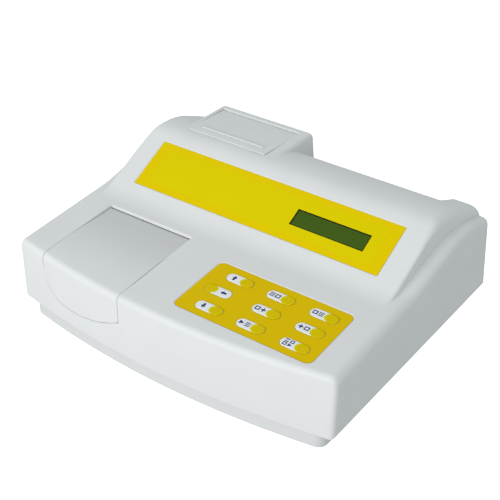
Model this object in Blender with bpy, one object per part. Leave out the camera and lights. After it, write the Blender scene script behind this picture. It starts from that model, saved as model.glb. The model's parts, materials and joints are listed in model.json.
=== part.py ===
"""Digital water tester for pool water: a bench instrument with a hinged sample lid, a nine-key
membrane keypad, a character display and a built-in receipt printer.

Metres, +X right, +Y back, +Z up. The origin is at the middle of the footprint, on the table.
"""

import math

import bmesh
import bpy
from mathutils import Matrix, Vector

# ---- driving dimensions -------------------------------------------------------------------

GAP = 0.0003            # between pieces that touch
WALL = 0.003            # casing wall
HALF_WIDTH = 0.179
DEPTH = 0.307
BOW = 0.018             # how far the front bulges forward at its middle
FRONT = -DEPTH / 2 + BOW
REAR = DEPTH / 2
REAR_LEAN = 0.15        # the rear face leans forward by this much per metre of height

FOOT_HEIGHT = 0.004
TRAY_TOP = 0.022        # parting line between the lower and the upper casing
TRAY_SIDE = 0.168       # half width of the lower casing
TRAY_INSET = 0.005      # its front and rear stand back by this much
TRAY_CORNER = 0.010
TRAY_WALL = 0.0025

DECK_HEIGHT = 0.088     # at the front corners
DECK_SLOPE = 0.077
PANEL_SLOPE = 0.523     # display panel, rise over run
PANEL_FOOT = (-0.0098, 0.1054)   # y and z of the panel's lower edge
PANEL_WIDTH = 0.2818
PANEL_LENGTH = 0.0560
CREST = 0.1384          # top of the hump
CREST_BACK = 0.0845     # where the top starts to fall away to the rear
REAR_SLOPE = -0.42
HUMP_SIDE = 0.1655      # half width of the hump at its foot
HUMP_FLARE = 0.0035     # the hump is this much wider at each side by its rear end
HUMP_EDGE = (0.003, 0.009)   # radius along the ends of the hump, at its foot and its crest
HUMP_EDGE_GROWS = (0.020, 0.070)   # y range over which that radius grows
FLARE_GROWS = (0.030, 0.120)       # y range over which the hump's ends draw outward
FLARE_INNER = 0.148                # x from which they do
SHOULDER = 0.009        # radius along the top of the sides
FRONT_EDGE = 0.0055
REAR_EDGE = 0.003
REAR_CORNER = 0.003
CORNER = 0.004          # upright corners and lower side edges

PRINTER = (-0.137, -0.022)       # x of the printer housing's two sides
PRINTER_EDGE = 0.004
RECESS = (-0.0215, 0.142)       # x of the connector recess in the rear
RECESS_FACE = 0.1045
RECESS_FLOOR = 0.034
BASE_OPENING = 0.163             # half width of the opening in the casing's underside
PANEL_WINDOW = (0.0, 0.130, 0.052, 0.108)   # x and z ranges cut for the connectors' bodies

LID = (-0.141, -0.0405)          # x of the sample lid's two sides
LID_THICK = 0.0025
LID_HINGE_Y = -0.0471
LID_BARREL = 0.0018
LID_DIP_START = -0.105
LID_DIP = 0.0022                 # the lid sinks this far below the deck at its hinge
LID_GAP = 0.0005
LID_LOW_X = -0.103               # where the lid's lower edge is lowest
LID_LOW = 0.041
LID_SIDE_TOP = 0.076             # its left end, where the edge turns upright
LID_RIGHT_RISE = 0.0175          # how much higher its right end is than its lowest point

DOOR = (-0.130, -0.034)          # x of the printer door's two sides
DOOR_FRONT = 0.0655
DOOR_HINGE_Y = 0.1250
DOOR_BARREL = 0.0016
DOOR_THICK = 0.0025
DOOR_RISE = 0.0008               # the door stands proud at its front edge
DOOR_DIP = 0.0014                # and lies this far below the housing at its hinge

PIN_RADIUS = 0.0008
PIN_CLEARANCE = 0.0001
LID_PIN_REACH = 0.0045           # how far each pin goes into the casing past its lid
DOOR_PIN_REACH = 0.0025

KEYPAD_CENTRE = (0.0782, 0.0398)         # on the deck: x, and distance up the slope
KEYPAD_SIZE = (0.1437, 0.0730)
KEYPAD_CORNER = 0.006
KEY_SIZE = (0.0280, 0.0110)
KEY_COLUMNS = (0.0378, 0.0821, 0.1271)
KEY_ROWS = (0.0622, 0.0395, 0.0162)
KEY_NAMES = [
    ["key_up", "key_menu", "key_print"],
    ["key_left", "key_zero", "key_store"],
    ["key_down", "key_test", "key_enter"],
]
KEY_LEFT_SHIFT = -0.0080         # the left-arrow key stands out to the left of its column
KEY_BOTTOM = -0.00040
KEY_TOP = 0.00025
KEY_STEM = (0.0020, -0.0044)     # radius, and depth of its end below the deck
KEY_HOLE = 0.0026
KEY_SLACK = 0.0004               # between a key's cap and the edge of its hole
OVERLAY_RECESS = 0.0010
OVERLAY_TOP = -0.0003            # the printed films lie just below the casing's surface
KEYPAD_BOARD = (0.136, 0.066, -0.0052)   # width, length, and depth of its top face

WINDOW = (0.0361, 0.1161, 0.0175, 0.0362)  # x range and range up the panel
WINDOW_MARGIN = 0.0010           # the hole in the casing is this much larger all round
LCD_GLASS = (0.0006, -0.0050, -0.0012)     # margin past the window, depths of both faces
LCD_FRAME = (0.0060, -0.0075, -0.0032)
LCD_BOARD = (0.0090, -0.0095, -0.0079)

WELL = (-0.092, -0.093)
WELL_RADIUS = 0.0130
WELL_FLOOR = 0.0145
LIGHT_HEIGHT = 0.030
BLOCK_HALF = 0.026
BLOCK_TOP = 0.0477
COMPARTMENT = ((-0.1385, -0.0430), -0.0500, 0.0815)   # x range, back and top of its walls
COMPARTMENT_WALL = 0.002
COLLAR = (0.0175, 0.0035)        # outer radius and height of the ring round the well's mouth
LAMP_BORE = 0.0050
DETECTOR_BORE = 0.0046
CAN_RADIUS = 0.0042              # detector housings
CAN_START = 0.0180               # their inner faces, from the well's axis
LENS_SPAN = (0.0195, 0.0225)     # the lens's two faces, from the well's axis
HOLDER = (0.014, 0.010, 0.009)   # lamp holder: length, half width, height above the light
LAMP = (0.0036, 0.0040)          # radius of the lamp and of its hole
BOARD_THICK = 0.0016

PLATEN = (0.0785, 0.1220)        # y and z of the platen's axis
MOTOR = (0.0785, 0.1060)
ROLL = (0.1025, 0.1120)
PLATEN_TEETH = 20
MOTOR_TEETH = 12
TOOTH_MODULE = 0.001

PLATEN_RADIUS = 0.0045
PLATEN_SPAN = (-0.1120, -0.0520)
SHAFT = (0.0015, 0.0018)         # radius of the platen's shaft and of its holes
ROLL_RADIUS = 0.0175
ROLL_SPAN = (-0.1105, -0.0535)
SPINDLE = (0.0040, 0.0043, 0.0050)   # radius, its holes in the bay, the roll's core
GEAR_SPAN = (-0.0345, -0.0310)
MOTOR_BODY = (0.0075, -0.0505, -0.0383)   # radius and x of both ends
MOTOR_SHAFT = 0.0010
MOTOR_GEAR_BORE = 0.0013
BAY = ((-0.128, 0.0675, 0.090), (-0.036, 0.1245, 0.1325))   # corners of the printer's frame
BAY_WALL = 0.002
BAY_BACK = (0.1180, 0.1290)      # its rear wall stops at this height, behind this y
TEAR_BAR = (0.0115, 0.0010, 0.0014)    # setback from the door's front, width, height
PAPER_SLOT = (0.0012, 0.0030)    # front and back of the slot, behind the tear bar's front
SLOT_MARGIN = (0.0100, 0.0095)   # from the door's left and right sides

SCREW_POSTS = [(x, y) for x in (-0.152, 0.152) for y in (-0.100, 0.115)]
POST_RADIUS = 0.004
PILOT = (0.0017, 0.040)          # radius and upper end of a screw post's hole
TRAY_POST_RADIUS = 0.005
SCREW_SHANK = (0.0014, 0.0019, 0.037)   # radius, its hole in the tray, upper end
SCREW_HEAD = (0.0030, 0.0034, 0.0030)   # radius, its counterbore and the counterbore's depth
BAY_POSTS = [(x, y) for x in (-0.122, -0.042) for y in (0.073, 0.119)]

BOARD_BOTTOM = 0.0140            # main circuit board
BOARD_LOW = (-0.030, -0.110)
BOARD_HIGH = (0.120, -0.010)
BOARD_POSTS = [
    (x, y)
    for x in (BOARD_LOW[0] + 0.006, BOARD_HIGH[0] - 0.006)
    for y in (BOARD_LOW[1] + 0.006, BOARD_HIGH[1] - 0.006)
]
BOARD_POST_RADIUS = 0.003
FEET = {"left": -0.135, "right": 0.135, "front": -0.112, "rear": 0.128}
FOOT_RADII = (0.0085, 0.0095)

INLET = (0.030, 0.078)           # x and z of each part on the rear panel
SWITCH = (0.066, 0.078)
FUSE = (0.089, 0.078)
SERIAL = (0.115, 0.078)
PANEL_LOW = (-0.006, 0.044)
PANEL_HIGH = (0.136, 0.116)
PANEL_FACE = RECESS_FACE + GAP + 0.0015
SEAT = PANEL_FACE + GAP          # where the connectors' flanges rest
PANEL_SCREWS = (-0.003, 0.133)
PANEL_SCREW_HEIGHT = 0.112
PANEL_SCREW_DEPTH = 0.0024       # how far a panel screw reaches into the casing
INLET_BODY = (0.027, 0.020)
INLET_MOUTH = (0.0234, 0.0158)
SWITCH_BODY = (0.019, 0.013)
SWITCH_MOUTH = (0.0168, 0.0106)
SERIAL_BODY = (0.020, 0.011)
BODY_SLACK = 0.0003              # round each body in its hole in the panel
FUSE_BODY = 0.0060
ROCKER_AXIS = (SWITCH[0], SEAT + 0.0005, SWITCH[1])
ROCKER_HALF = 0.0073             # half the rocker's length
ROCKER_TILT = math.radians(9)    # each way from level


# ---- scene helpers ------------------------------------------------------------------------

def clear_scene():
    for obj in list(bpy.data.objects):
        bpy.data.objects.remove(obj, do_unlink=True)


def material(name, color, roughness, metallic=0.0):
    mat = bpy.data.materials.get(name) or bpy.data.materials.new(name)
    mat.use_nodes = True
    shader = mat.node_tree.nodes["Principled BSDF"]
    shader.inputs["Base Color"].default_value = (*color, 1)
    shader.inputs["Roughness"].default_value = roughness
    shader.inputs["Metallic"].default_value = metallic
    return mat


def add(name, bm, mat=None):
    """Puts a bmesh into the scene as an object, closed and with its faces pointing out."""
    bmesh.ops.recalc_face_normals(bm, faces=bm.faces)
    mesh = bpy.data.meshes.new(name)
    bm.to_mesh(mesh)
    bm.free()
    mesh.shade_smooth()
    mesh.set_sharp_from_angle(angle=math.radians(35))
    obj = bpy.data.objects.new(name, mesh)
    bpy.context.scene.collection.objects.link(obj)
    if mat:
        obj.data.materials.append(mat)
    return obj


def combine(obj, bm, operation):
    """Adds a Boolean with a hidden helper made from the bmesh, and returns the helper."""
    helper = add(f"{obj.name}.helper", bm)
    helper.hide_render = True
    helper.display_type = "WIRE"
    modifier = obj.modifiers.new(operation.lower(), "BOOLEAN")
    modifier.operation = operation
    modifier.solver = "EXACT"
    modifier.object = helper
    helper.matrix_world = obj.matrix_world
    return helper


def cut(obj, bm):
    return combine(obj, bm, "DIFFERENCE")


def join(obj, bm):
    return combine(obj, bm, "UNION")


def hang_on(obj, pivot):
    """Moves the object's origin to the pivot, on its joint's axis, without moving the shape."""
    obj.data.transform(Matrix.Translation(-Vector(pivot)))
    obj.location = pivot
    for modifier in obj.modifiers:
        helper = modifier.object
        helper.data.transform(Matrix.Translation(-Vector(pivot)))
        helper.location = pivot
    return obj


def place(obj, frame):
    """Puts an object made in a tilted plane's own coordinates where that plane lies."""
    obj.matrix_world = frame
    for modifier in obj.modifiers:
        modifier.object.matrix_world = frame
    return obj


# ---- shape helpers ------------------------------------------------------------------------

def block(low, high):
    bm = bmesh.new()
    size = [b - a for a, b in zip(low, high)]
    middle = [(a + b) / 2 for a, b in zip(low, high)]
    matrix = Matrix.Translation(middle) @ Matrix.Diagonal((*size, 1))
    bmesh.ops.create_cube(bm, size=1, matrix=matrix)
    return bm


def rod(axis, start, end, radius, sides=24, end_radius=None):
    """A cylinder or cone along X, Y or Z from the start point to a coordinate on that axis."""
    bm = bmesh.new()
    index = "XYZ".index(axis)
    length = end - start[index]
    turn = {"X": Matrix.Rotation(math.pi / 2, 4, "Y"), "Z": Matrix.Identity(4)}.get(
        axis, Matrix.Rotation(-math.pi / 2, 4, "X")
    )
    middle = Vector(start)
    middle[index] += length / 2
    bmesh.ops.create_cone(
        bm, cap_ends=True, segments=sides, radius1=radius,
        radius2=radius if end_radius is None else end_radius, depth=abs(length),
        matrix=Matrix.Translation(middle) @ turn,
    )
    return bm


def extruded(outline, low, high, plane="XY"):
    """A closed outline in one plane, pushed along the third axis from low to high."""
    order = {"XY": (0, 1, 2), "XZ": (0, 2, 1), "YZ": (1, 2, 0)}[plane]
    bm = bmesh.new()
    ends = []
    for height in (low, high):
        ring = []
        for a, b in outline:
            point = [0, 0, 0]
            point[order[0]], point[order[1]], point[order[2]] = a, b, height
            ring.append(bm.verts.new(point))
        ends.append(ring)
    bm.faces.new(ends[0])
    bm.faces.new(ends[1])
    for i in range(len(outline)):
        j = (i + 1) % len(outline)
        bm.faces.new((ends[0][i], ends[0][j], ends[1][j], ends[1][i]))
    return bm


def lofted(loops):
    """A solid through closed loops that all have the same number of points."""
    bm = bmesh.new()
    rings = [[bm.verts.new(point) for point in loop] for loop in loops]
    for near, far in zip(rings, rings[1:]):
        for i in range(len(near)):
            j = (i + 1) % len(near)
            bm.faces.new((near[i], near[j], far[j], far[i]))
    bm.faces.new(rings[0])
    bm.faces.new(rings[-1])
    return bm


def rounded_path(corners, radii, steps):
    """An open path of (a, b) points whose inner corners are arcs of the given radii."""
    path = [corners[0]]
    for before, corner, after, radius in zip(corners, corners[1:], corners[2:], radii):
        here = Vector(corner)
        back = (Vector(before) - here).normalized()
        on = (Vector(after) - here).normalized()
        half = back.angle(on) / 2
        middle = here + (back + on).normalized() * radius / math.sin(half)
        first = here + back * radius / math.tan(half) - middle
        last = here + on * radius / math.tan(half) - middle
        for i in range(steps + 1):
            path.append(tuple(middle + first.slerp(last, i / steps).normalized() * radius))
    path.append(corners[-1])
    return path


def rounded_box(centre, size, radius, steps=4):
    """Outline of a rectangle with round corners."""
    half_x, half_y = size[0] / 2 - radius, size[1] / 2 - radius
    outline = []
    for quarter, (sx, sy) in enumerate([(1, 1), (-1, 1), (-1, -1), (1, -1)]):
        for i in range(steps + 1):
            angle = (quarter + i / steps) * math.pi / 2
            x = centre[0] + sx * half_x + radius * math.cos(angle)
            y = centre[1] + sy * half_y + radius * math.sin(angle)
            outline.append((x, y))
    return outline


def height_on(path, y):
    """Height of a path of (y, z) points at the given y."""
    for (y0, z0), (y1, z1) in zip(path, path[1:]):
        if y <= y1:
            return z0 + (z1 - z0) * (y - y0) / (y1 - y0)
    return path[-1][1]


def arc_drop(distance, radius):
    """How far a quarter-round edge has fallen, this far out from the start of its rounding."""
    reach = min(max(distance, 0), radius)
    return radius - math.sqrt(radius ** 2 - reach ** 2)


def smooth_step(value):
    t = min(max(value, 0), 1)
    return t * t * (3 - 2 * t)


def step_between(value, limits):
    low, high = limits
    return smooth_step((value - low) / (high - low))


# ---- casing shape -------------------------------------------------------------------------

def deck(y):
    return DECK_HEIGHT + DECK_SLOPE * (y - FRONT)


def hump_path():
    """Deck, display panel, crest and rear slope in the (y, z) plane."""
    foot_y, foot_z = PANEL_FOOT
    base = foot_z - PANEL_SLOPE * foot_y
    meet = (base - deck(0)) / (DECK_SLOPE - PANEL_SLOPE)
    crest_front = (CREST - base) / PANEL_SLOPE
    back = REAR + 0.02
    corners = [
        (-DEPTH, deck(-DEPTH)),
        (meet, deck(meet)),
        (crest_front, CREST),
        (CREST_BACK, CREST),
        (back, CREST + REAR_SLOPE * (back - CREST_BACK)),
    ]
    return rounded_path(corners, [0.055, 0.037, 0.100], 12)


def cheek_path():
    """The lower shoulders outside the hump, which swell more gently than it."""
    corners = [
        (-DEPTH, deck(-DEPTH)),
        (-0.0115, deck(-0.0115)),
        (0.0680, 0.1165),
        (0.1040, 0.1165),
        (0.1735, 0.0968),
    ]
    return rounded_path(corners, [0.120, 0.080, 0.050], 8)


HUMP_PATH = hump_path()
CHEEK_PATH = cheek_path()


def front_y(x):
    bow = FRONT - BOW * (1 - (x / HALF_WIDTH) ** 2)
    return bow + arc_drop(abs(x) - HALF_WIDTH + CORNER, CORNER)


def rear_y(z):
    return REAR - REAR_LEAN * (z - TRAY_TOP)


def hump_edge(y):
    foot, crest = HUMP_EDGE
    return foot + (crest - foot) * step_between(y, HUMP_EDGE_GROWS)


def flared(x, y, inset):
    """X of a point once the ends of the hump are drawn outward towards the rear."""
    ridge = HUMP_SIDE - inset
    inside = (abs(x) - FLARE_INNER) / (ridge - FLARE_INNER)
    outside = (HALF_WIDTH - inset - abs(x)) / (HALF_WIDTH - HUMP_SIDE)
    share = min(max(min(inside, outside), 0), 1)
    return x + math.copysign(HUMP_FLARE * share * step_between(y, FLARE_GROWS), x)


def top_height(x, y, inset):
    """Height of the casing's top surface, or of a copy of it that lies inside by the inset."""
    heights = [height_on(CHEEK_PATH, y)]
    if abs(x) <= HUMP_SIDE - inset:
        edge = hump_edge(y)
        drop = arc_drop(abs(x) - HUMP_SIDE + edge, edge - inset)
        heights.append(height_on(HUMP_PATH, y) - drop)
    if PRINTER[0] + inset <= x <= PRINTER[1] - inset and y > DOOR_FRONT - 0.003:
        side = min(x - PRINTER[0], PRINTER[1] - x)
        edge = PRINTER_EDGE - inset
        heights.append(CREST - arc_drop(PRINTER_EDGE - side, edge))
    shoulder = arc_drop(abs(x) - HALF_WIDTH + SHOULDER, SHOULDER - inset)
    return max(heights) - shoulder - inset


def casing_loop(x, inset, bottom, rows, arc_steps):
    """One upright slice of the casing at x, as a closed loop of points."""
    front = front_y(x) + inset
    edge = FRONT_EDGE - inset
    points = [(front, bottom)]
    for i in range(arc_steps + 1):
        angle = math.pi / 2 * i / arc_steps
        y = front + edge * (1 - math.cos(angle))
        points.append((y, top_height(x, y, inset) - edge * (1 - math.sin(angle))))
    points += [(y, top_height(x, y, inset)) for y in rows]
    edge = REAR_EDGE - inset
    side = arc_drop(abs(x) - HALF_WIDTH + REAR_CORNER, REAR_CORNER)
    rear = rear_y(top_height(x, 0.130, inset)) - inset - side
    for i in range(arc_steps + 1):
        angle = math.pi / 2 * i / arc_steps
        y = rear - edge * (1 - math.sin(angle))
        points.append((y, top_height(x, y, inset) - edge * (1 - math.cos(angle))))
    points.append((rear_y(bottom) - inset - side, bottom))
    return [(flared(x, y, inset), y, z) for y, z in points]


def outer_stations():
    """X of the slices: close together where an edge is rounded."""
    half = [0.0, 0.045, 0.090, 0.125, 0.148, 0.157]
    half += [HUMP_SIDE - reach for reach in (0.0060, 0.0030, 0.0015, 0.0004, 0, -0.00015)]
    half += [HALF_WIDTH - SHOULDER * (1 - math.sin(math.radians(a))) for a in (0, 22, 42, 62, 90)]
    printer = []
    for side, inward in zip(PRINTER, (1, -1)):
        printer += [side - inward * 0.00015, side, side + inward * 0.0012, side + inward * 0.004]
    return sorted({round(x, 6) for x in half + [-x for x in half] + printer})


def outer_casing():
    rows = [-0.115, -0.075, -0.0415, -0.036, -0.030, -0.024, -0.018, -0.006, 0.020]
    rows += [0.0445, 0.0485, 0.0525, 0.0570, 0.0620, 0.0660, 0.0725, 0.0790, 0.0855, 0.0920]
    rows += [0.0985, 0.1045, 0.1160, 0.1280]
    loops = []
    for x in outer_stations():
        bottom = TRAY_TOP + arc_drop(abs(x) - HALF_WIDTH + CORNER, CORNER)
        loops.append(casing_loop(x, 0, bottom, rows, 3))
    return lofted(loops)


def inner_space(inset=WALL, bottom=TRAY_TOP + WALL):
    """The hollow of the upper casing, above its floor flange."""
    rows = [-0.115, -0.0415, -0.030, -0.018, 0.020, 0.0445, 0.0525, 0.0620, 0.0725, 0.0855]
    rows += [0.0985, 0.1160, 0.1270]
    side = HALF_WIDTH - inset
    half = [0.0, 0.060, 0.115, 0.157, 0.161, HUMP_SIDE - inset, HUMP_SIDE - inset + 0.00015]
    half += [HALF_WIDTH - SHOULDER + 0.003, side]
    printer = []
    for edge, inward in zip(PRINTER, (1, -1)):
        printer += [edge + inward * (inset - 0.00015), edge + inward * inset]
    stations = sorted({round(x, 6) for x in half + [-x for x in half] + printer})
    return lofted([casing_loop(x, inset, bottom, rows, 2) for x in stations])


# ---- upper casing -------------------------------------------------------------------------

def lid_edge(x):
    """Height of the sample lid's lower edge on the front face: a lopsided smile."""
    if x > LID_LOW_X:
        return LID_LOW + LID_RIGHT_RISE * ((x - LID_LOW_X) / (LID[1] - LID_LOW_X)) ** 2
    across = min(max((LID_LOW_X - x) / (LID_LOW_X - LID[0]), 0), 1)
    roundness = 2.4
    return LID_SIDE_TOP - (LID_SIDE_TOP - LID_LOW) * (1 - across ** roundness) ** (1 / roundness)


def lid_stations():
    reach = LID_LOW_X - LID[0]
    steep = [LID[0] + reach * (1 - math.cos(math.radians(a))) for a in (0, 9, 18, 28, 40, 54, 70)]
    gentle = [LID_LOW_X, -0.085, -0.067, -0.053, LID[1]]
    return [round(x, 6) for x in steep + gentle]


def lid_opening():
    """Everything above the lid's outline, from the front face back to the hinge."""
    outline = [(LID[0] - LID_GAP, 0.2), (LID[1] + LID_GAP, 0.2)]
    outline += [(LID[1] + LID_GAP, lid_edge(LID[1]) - LID_GAP)]
    outline += [(x, lid_edge(x) - LID_GAP) for x in reversed(lid_stations()[1:-1])]
    outline += [(LID[0] - LID_GAP, lid_edge(LID[0]) - LID_GAP)]
    back = LID_HINGE_Y + LID_BARREL + LID_GAP
    return extruded(outline, -0.2, back, "XZ")


def lid_axis():
    return (0, LID_HINGE_Y, deck(LID_HINGE_Y) - LID_DIP - LID_BARREL)


def door_axis():
    return (0, DOOR_HINGE_Y, CREST - DOOR_DIP - DOOR_BARREL)


def plane_frame(y, z, slope):
    return Matrix.Translation((0, y, z)) @ Matrix.Rotation(math.atan(slope), 4, "X")


PANEL_FRAME = plane_frame(*PANEL_FOOT, PANEL_SLOPE)
DECK_FRAME = plane_frame(FRONT, DECK_HEIGHT, DECK_SLOPE)


def hollow_casing(casing):
    void = cut(casing, inner_space())
    low = (RECESS[0] - WALL, RECESS_FACE - WALL, RECESS_FLOOR - WALL)
    cut(void, block(low, (RECESS[1] + WALL, 0.2, 0.2)))
    low = (-BASE_OPENING, FRONT + 2 * WALL, 0)
    cut(casing, block(low, (BASE_OPENING, REAR - 4 * WALL, TRAY_TOP + WALL + 0.001)))
    cut(casing, block((RECESS[0], RECESS_FACE, RECESS_FLOOR), (RECESS[1], 0.2, 0.2)))
    x0, x1, z0, z1 = PANEL_WINDOW
    cut(casing, block((x0, RECESS_FACE - 0.01, z0), (x1, RECESS_FACE + 0.005, z1)))
    for x in PANEL_SCREWS:
        pilot = (x, RECESS_FACE - PANEL_SCREW_DEPTH - GAP, PANEL_SCREW_HEIGHT)
        cut(casing, rod("Y", pilot, RECESS_FACE + 0.001, PILOT[0], 12))


def add_posts(casing):
    """Screw posts that reach from the parting line up to the underside of the top."""
    for x, y in SCREW_POSTS:
        top = min(height_on(HUMP_PATH, y + step) for step in (-POST_RADIUS, POST_RADIUS)) - WALL / 2
        join(casing, rod("Z", (x, y, TRAY_TOP), top, POST_RADIUS, 12))
        cut(casing, rod("Z", (x, y, 0), PILOT[1], PILOT[0], 12))


def add_hinge_bosses(casing):
    hinges = (
        (LID, lid_axis(), LID_PIN_REACH, (0.0050, 0.0035), (0.0030, 0.0028)),
        (DOOR, door_axis(), DOOR_PIN_REACH, (0.0040, 0.0025), (0.0030, 0.0020)),
    )
    for span, (_, y, z), reach, (ahead, behind), (below, above) in hinges:
        for side, outward in zip(span, (-1, 1)):
            near = side + outward * (LID_GAP + 0.0002)
            far = near + outward * (reach + 0.0010)
            low, high = min(near, far), max(near, far)
            join(casing, block((low, y - ahead, z - below), (high, y + behind, z + above)))
        start = (span[0] - reach - GAP, y, z)
        cut(casing, rod("X", start, span[1] + reach + GAP, PIN_RADIUS + PIN_CLEARANCE, 12))


def upper_casing(plastic):
    casing = add("upper_casing", outer_casing(), plastic)
    hollow_casing(casing)
    add_posts(casing)
    cut(casing, lid_opening())
    back = DOOR_HINGE_Y + DOOR_BARREL + LID_GAP
    low = (DOOR[0] - LID_GAP, DOOR_FRONT - LID_GAP, 0.120)
    cut(casing, block(low, (DOOR[1] + LID_GAP, back, 0.2)))
    add_hinge_bosses(casing)

    around = 0.001
    size = (PANEL_WIDTH + around, PANEL_LENGTH + around)
    panel = rounded_box((0, PANEL_LENGTH / 2), size, 0.0012, 1)
    cut(casing, extruded(panel, -OVERLAY_RECESS, 0.01)).matrix_world = PANEL_FRAME
    cut(casing, window_block(WINDOW_MARGIN, -0.01, 0.01)).matrix_world = PANEL_FRAME

    size = (KEYPAD_SIZE[0] + around, KEYPAD_SIZE[1] + around)
    pad = rounded_box(KEYPAD_CENTRE, size, KEYPAD_CORNER + around / 2, 4)
    cut(casing, extruded(pad, -OVERLAY_RECESS, 0.01)).matrix_world = DECK_FRAME
    for _, x, v in key_places():
        cut(casing, rod("Z", (x, v, -0.01), 0.01, KEY_HOLE, 10)).matrix_world = DECK_FRAME


# ---- lower casing, feet and screws --------------------------------------------------------

def tray_outline(inset):
    side = TRAY_SIDE - inset
    front = TRAY_INSET + inset
    rear = REAR - TRAY_INSET - inset
    radius = TRAY_CORNER - inset
    straight = side - radius
    outline = []
    for i in range(9):
        x = -straight + 2 * straight * i / 8
        outline.append((x, FRONT - BOW * (1 - (x / HALF_WIDTH) ** 2) + front))
    start_y = outline[-1][1]
    for i in range(1, 6):
        angle = math.pi / 2 * i / 5
        x = straight + radius * math.sin(angle)
        outline.append((x, start_y + radius * (1 - math.cos(angle))))
    for i in range(5):
        angle = math.pi / 2 * i / 4
        x = straight + radius * math.cos(angle)
        outline.append((x, rear - radius * (1 - math.sin(angle))))
    for i in range(5):
        angle = math.pi / 2 * i / 4
        x = -straight - radius * math.sin(angle)
        outline.append((x, rear - radius * (1 - math.cos(angle))))
    for i in range(5):
        angle = math.pi / 2 * (1 - i / 5)
        x = -straight - radius * math.sin(angle)
        outline.append((x, start_y + radius * (1 - math.cos(angle))))
    return outline


def lower_casing(plastic):
    top = TRAY_TOP - GAP
    tray = add("lower_casing", extruded(tray_outline(0), FOOT_HEIGHT, top), plastic)
    floor = FOOT_HEIGHT + TRAY_WALL
    cut(tray, extruded(tray_outline(TRAY_WALL), floor, 0.05))
    base = FOOT_HEIGHT + TRAY_WALL / 2
    for x, y in SCREW_POSTS:
        join(tray, rod("Z", (x, y, base), top, TRAY_POST_RADIUS, 16))
        cut(tray, rod("Z", (x, y, 0), 0.05, SCREW_SHANK[1], 12))
        cut(tray, rod("Z", (x, y, 0), FOOT_HEIGHT + SCREW_HEAD[2], SCREW_HEAD[1], 12))
    for x, y in BOARD_POSTS:
        join(tray, rod("Z", (x, y, base), BOARD_BOTTOM - GAP, BOARD_POST_RADIUS, 10))
    for x, y in BAY_POSTS:
        join(tray, rod("Z", (x, y, base), BAY[0][2] - GAP, POST_RADIUS, 10))


def case_screw(name, x, y, steel):
    seat = FOOT_HEIGHT + SCREW_HEAD[2] - GAP
    screw = add(name, rod("Z", (x, y, FOOT_HEIGHT + GAP), seat, SCREW_HEAD[0], 12), steel)
    join(screw, rod("Z", (x, y, seat - 0.001), SCREW_SHANK[2], SCREW_SHANK[0], 12))
    cut(screw, block((x - 0.004, y - 0.0004, 0), (x + 0.004, y + 0.0004, FOOT_HEIGHT + 0.0010)))


def feet(rubber):
    for end in ("front", "rear"):
        for side in ("left", "right"):
            centre = (FEET[side], FEET[end], 0)
            foot = rod("Z", centre, FOOT_HEIGHT - GAP, FOOT_RADII[0], 20, FOOT_RADII[1])
            add(f"foot_{end}_{side}", foot, rubber)


# ---- sample compartment -------------------------------------------------------------------

def lid_loop(x):
    """One slice of the lid: outside from the lower edge to the hinge, then back inside."""
    _, axis_y, axis_z = lid_axis()
    front = front_y(x)

    def top(y):
        sink = LID_DIP * step_between(y, (LID_DIP_START, axis_y))
        return deck(y) - sink

    corner_z = deck(front) - FRONT_EDGE
    points = [(front, lid_edge(x))]
    for i in range(5):
        angle = math.pi / 2 * i / 4
        y = front + FRONT_EDGE * (1 - math.cos(angle))
        points.append((y, deck(y) - FRONT_EDGE * (1 - math.sin(angle))))
    points += [(y, top(y)) for y in (-0.105, -0.090, -0.076, -0.062)]
    for i in range(6):
        angle = math.pi / 2 - math.pi * i / 5
        y = axis_y + LID_BARREL * math.cos(angle)
        points.append((y, axis_z + LID_BARREL * math.sin(angle)))
    points += [(y, top(y) - LID_THICK) for y in (-0.051, -0.076, -0.105)]
    inner = FRONT_EDGE - LID_THICK
    for i in range(3):
        angle = math.pi / 2 * (1 - i / 2)
        y = front + LID_THICK + inner * (1 - math.cos(angle))
        points.append((y, corner_z + inner * math.sin(angle)))
    points.append((front + LID_THICK, lid_edge(x)))
    return [(x, y, z) for y, z in points]


def sample_lid(plastic):
    lid = add("sample_lid", lofted([lid_loop(x) for x in lid_stations()]), plastic)
    axis = lid_axis()
    cut(lid, rod("X", (-0.2, *axis[1:]), 0.0, PIN_RADIUS + PIN_CLEARANCE, 12))
    hang_on(lid, ((LID[0] + LID[1]) / 2, *axis[1:]))


def hinge_pin(name, axis, span, reach, steel):
    add(name, rod("X", (span[0] - reach, *axis[1:]), span[1] + reach, PIN_RADIUS, 12), steel)


def sample_compartment(plastic):
    """Dark well tray under the lid, its front wall following the casing's bow."""
    tray = add("sample_compartment", inner_space(WALL + 0.001, TRAY_TOP + WALL), plastic)
    (left, right), back, top = COMPARTMENT
    floor = BLOCK_TOP + GAP
    combine(tray, block((left, -0.2, floor), (right, back, top)), "INTERSECT")
    wall = COMPARTMENT_WALL
    low = (left + wall, FRONT - 0.001, floor + wall)
    cut(tray, block(low, (right - wall, back - wall, 0.2)))
    cut(tray, rod("Z", (*WELL, 0), 0.2, WELL_RADIUS + LID_GAP, 32))


def well_collar(plastic):
    low = BLOCK_TOP + COMPARTMENT_WALL + 2 * GAP
    collar = add("well_collar", rod("Z", (*WELL, low), low + COLLAR[1], COLLAR[0], 32), plastic)
    cut(collar, rod("Z", (*WELL, 0), 0.2, WELL_RADIUS, 32))


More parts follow.
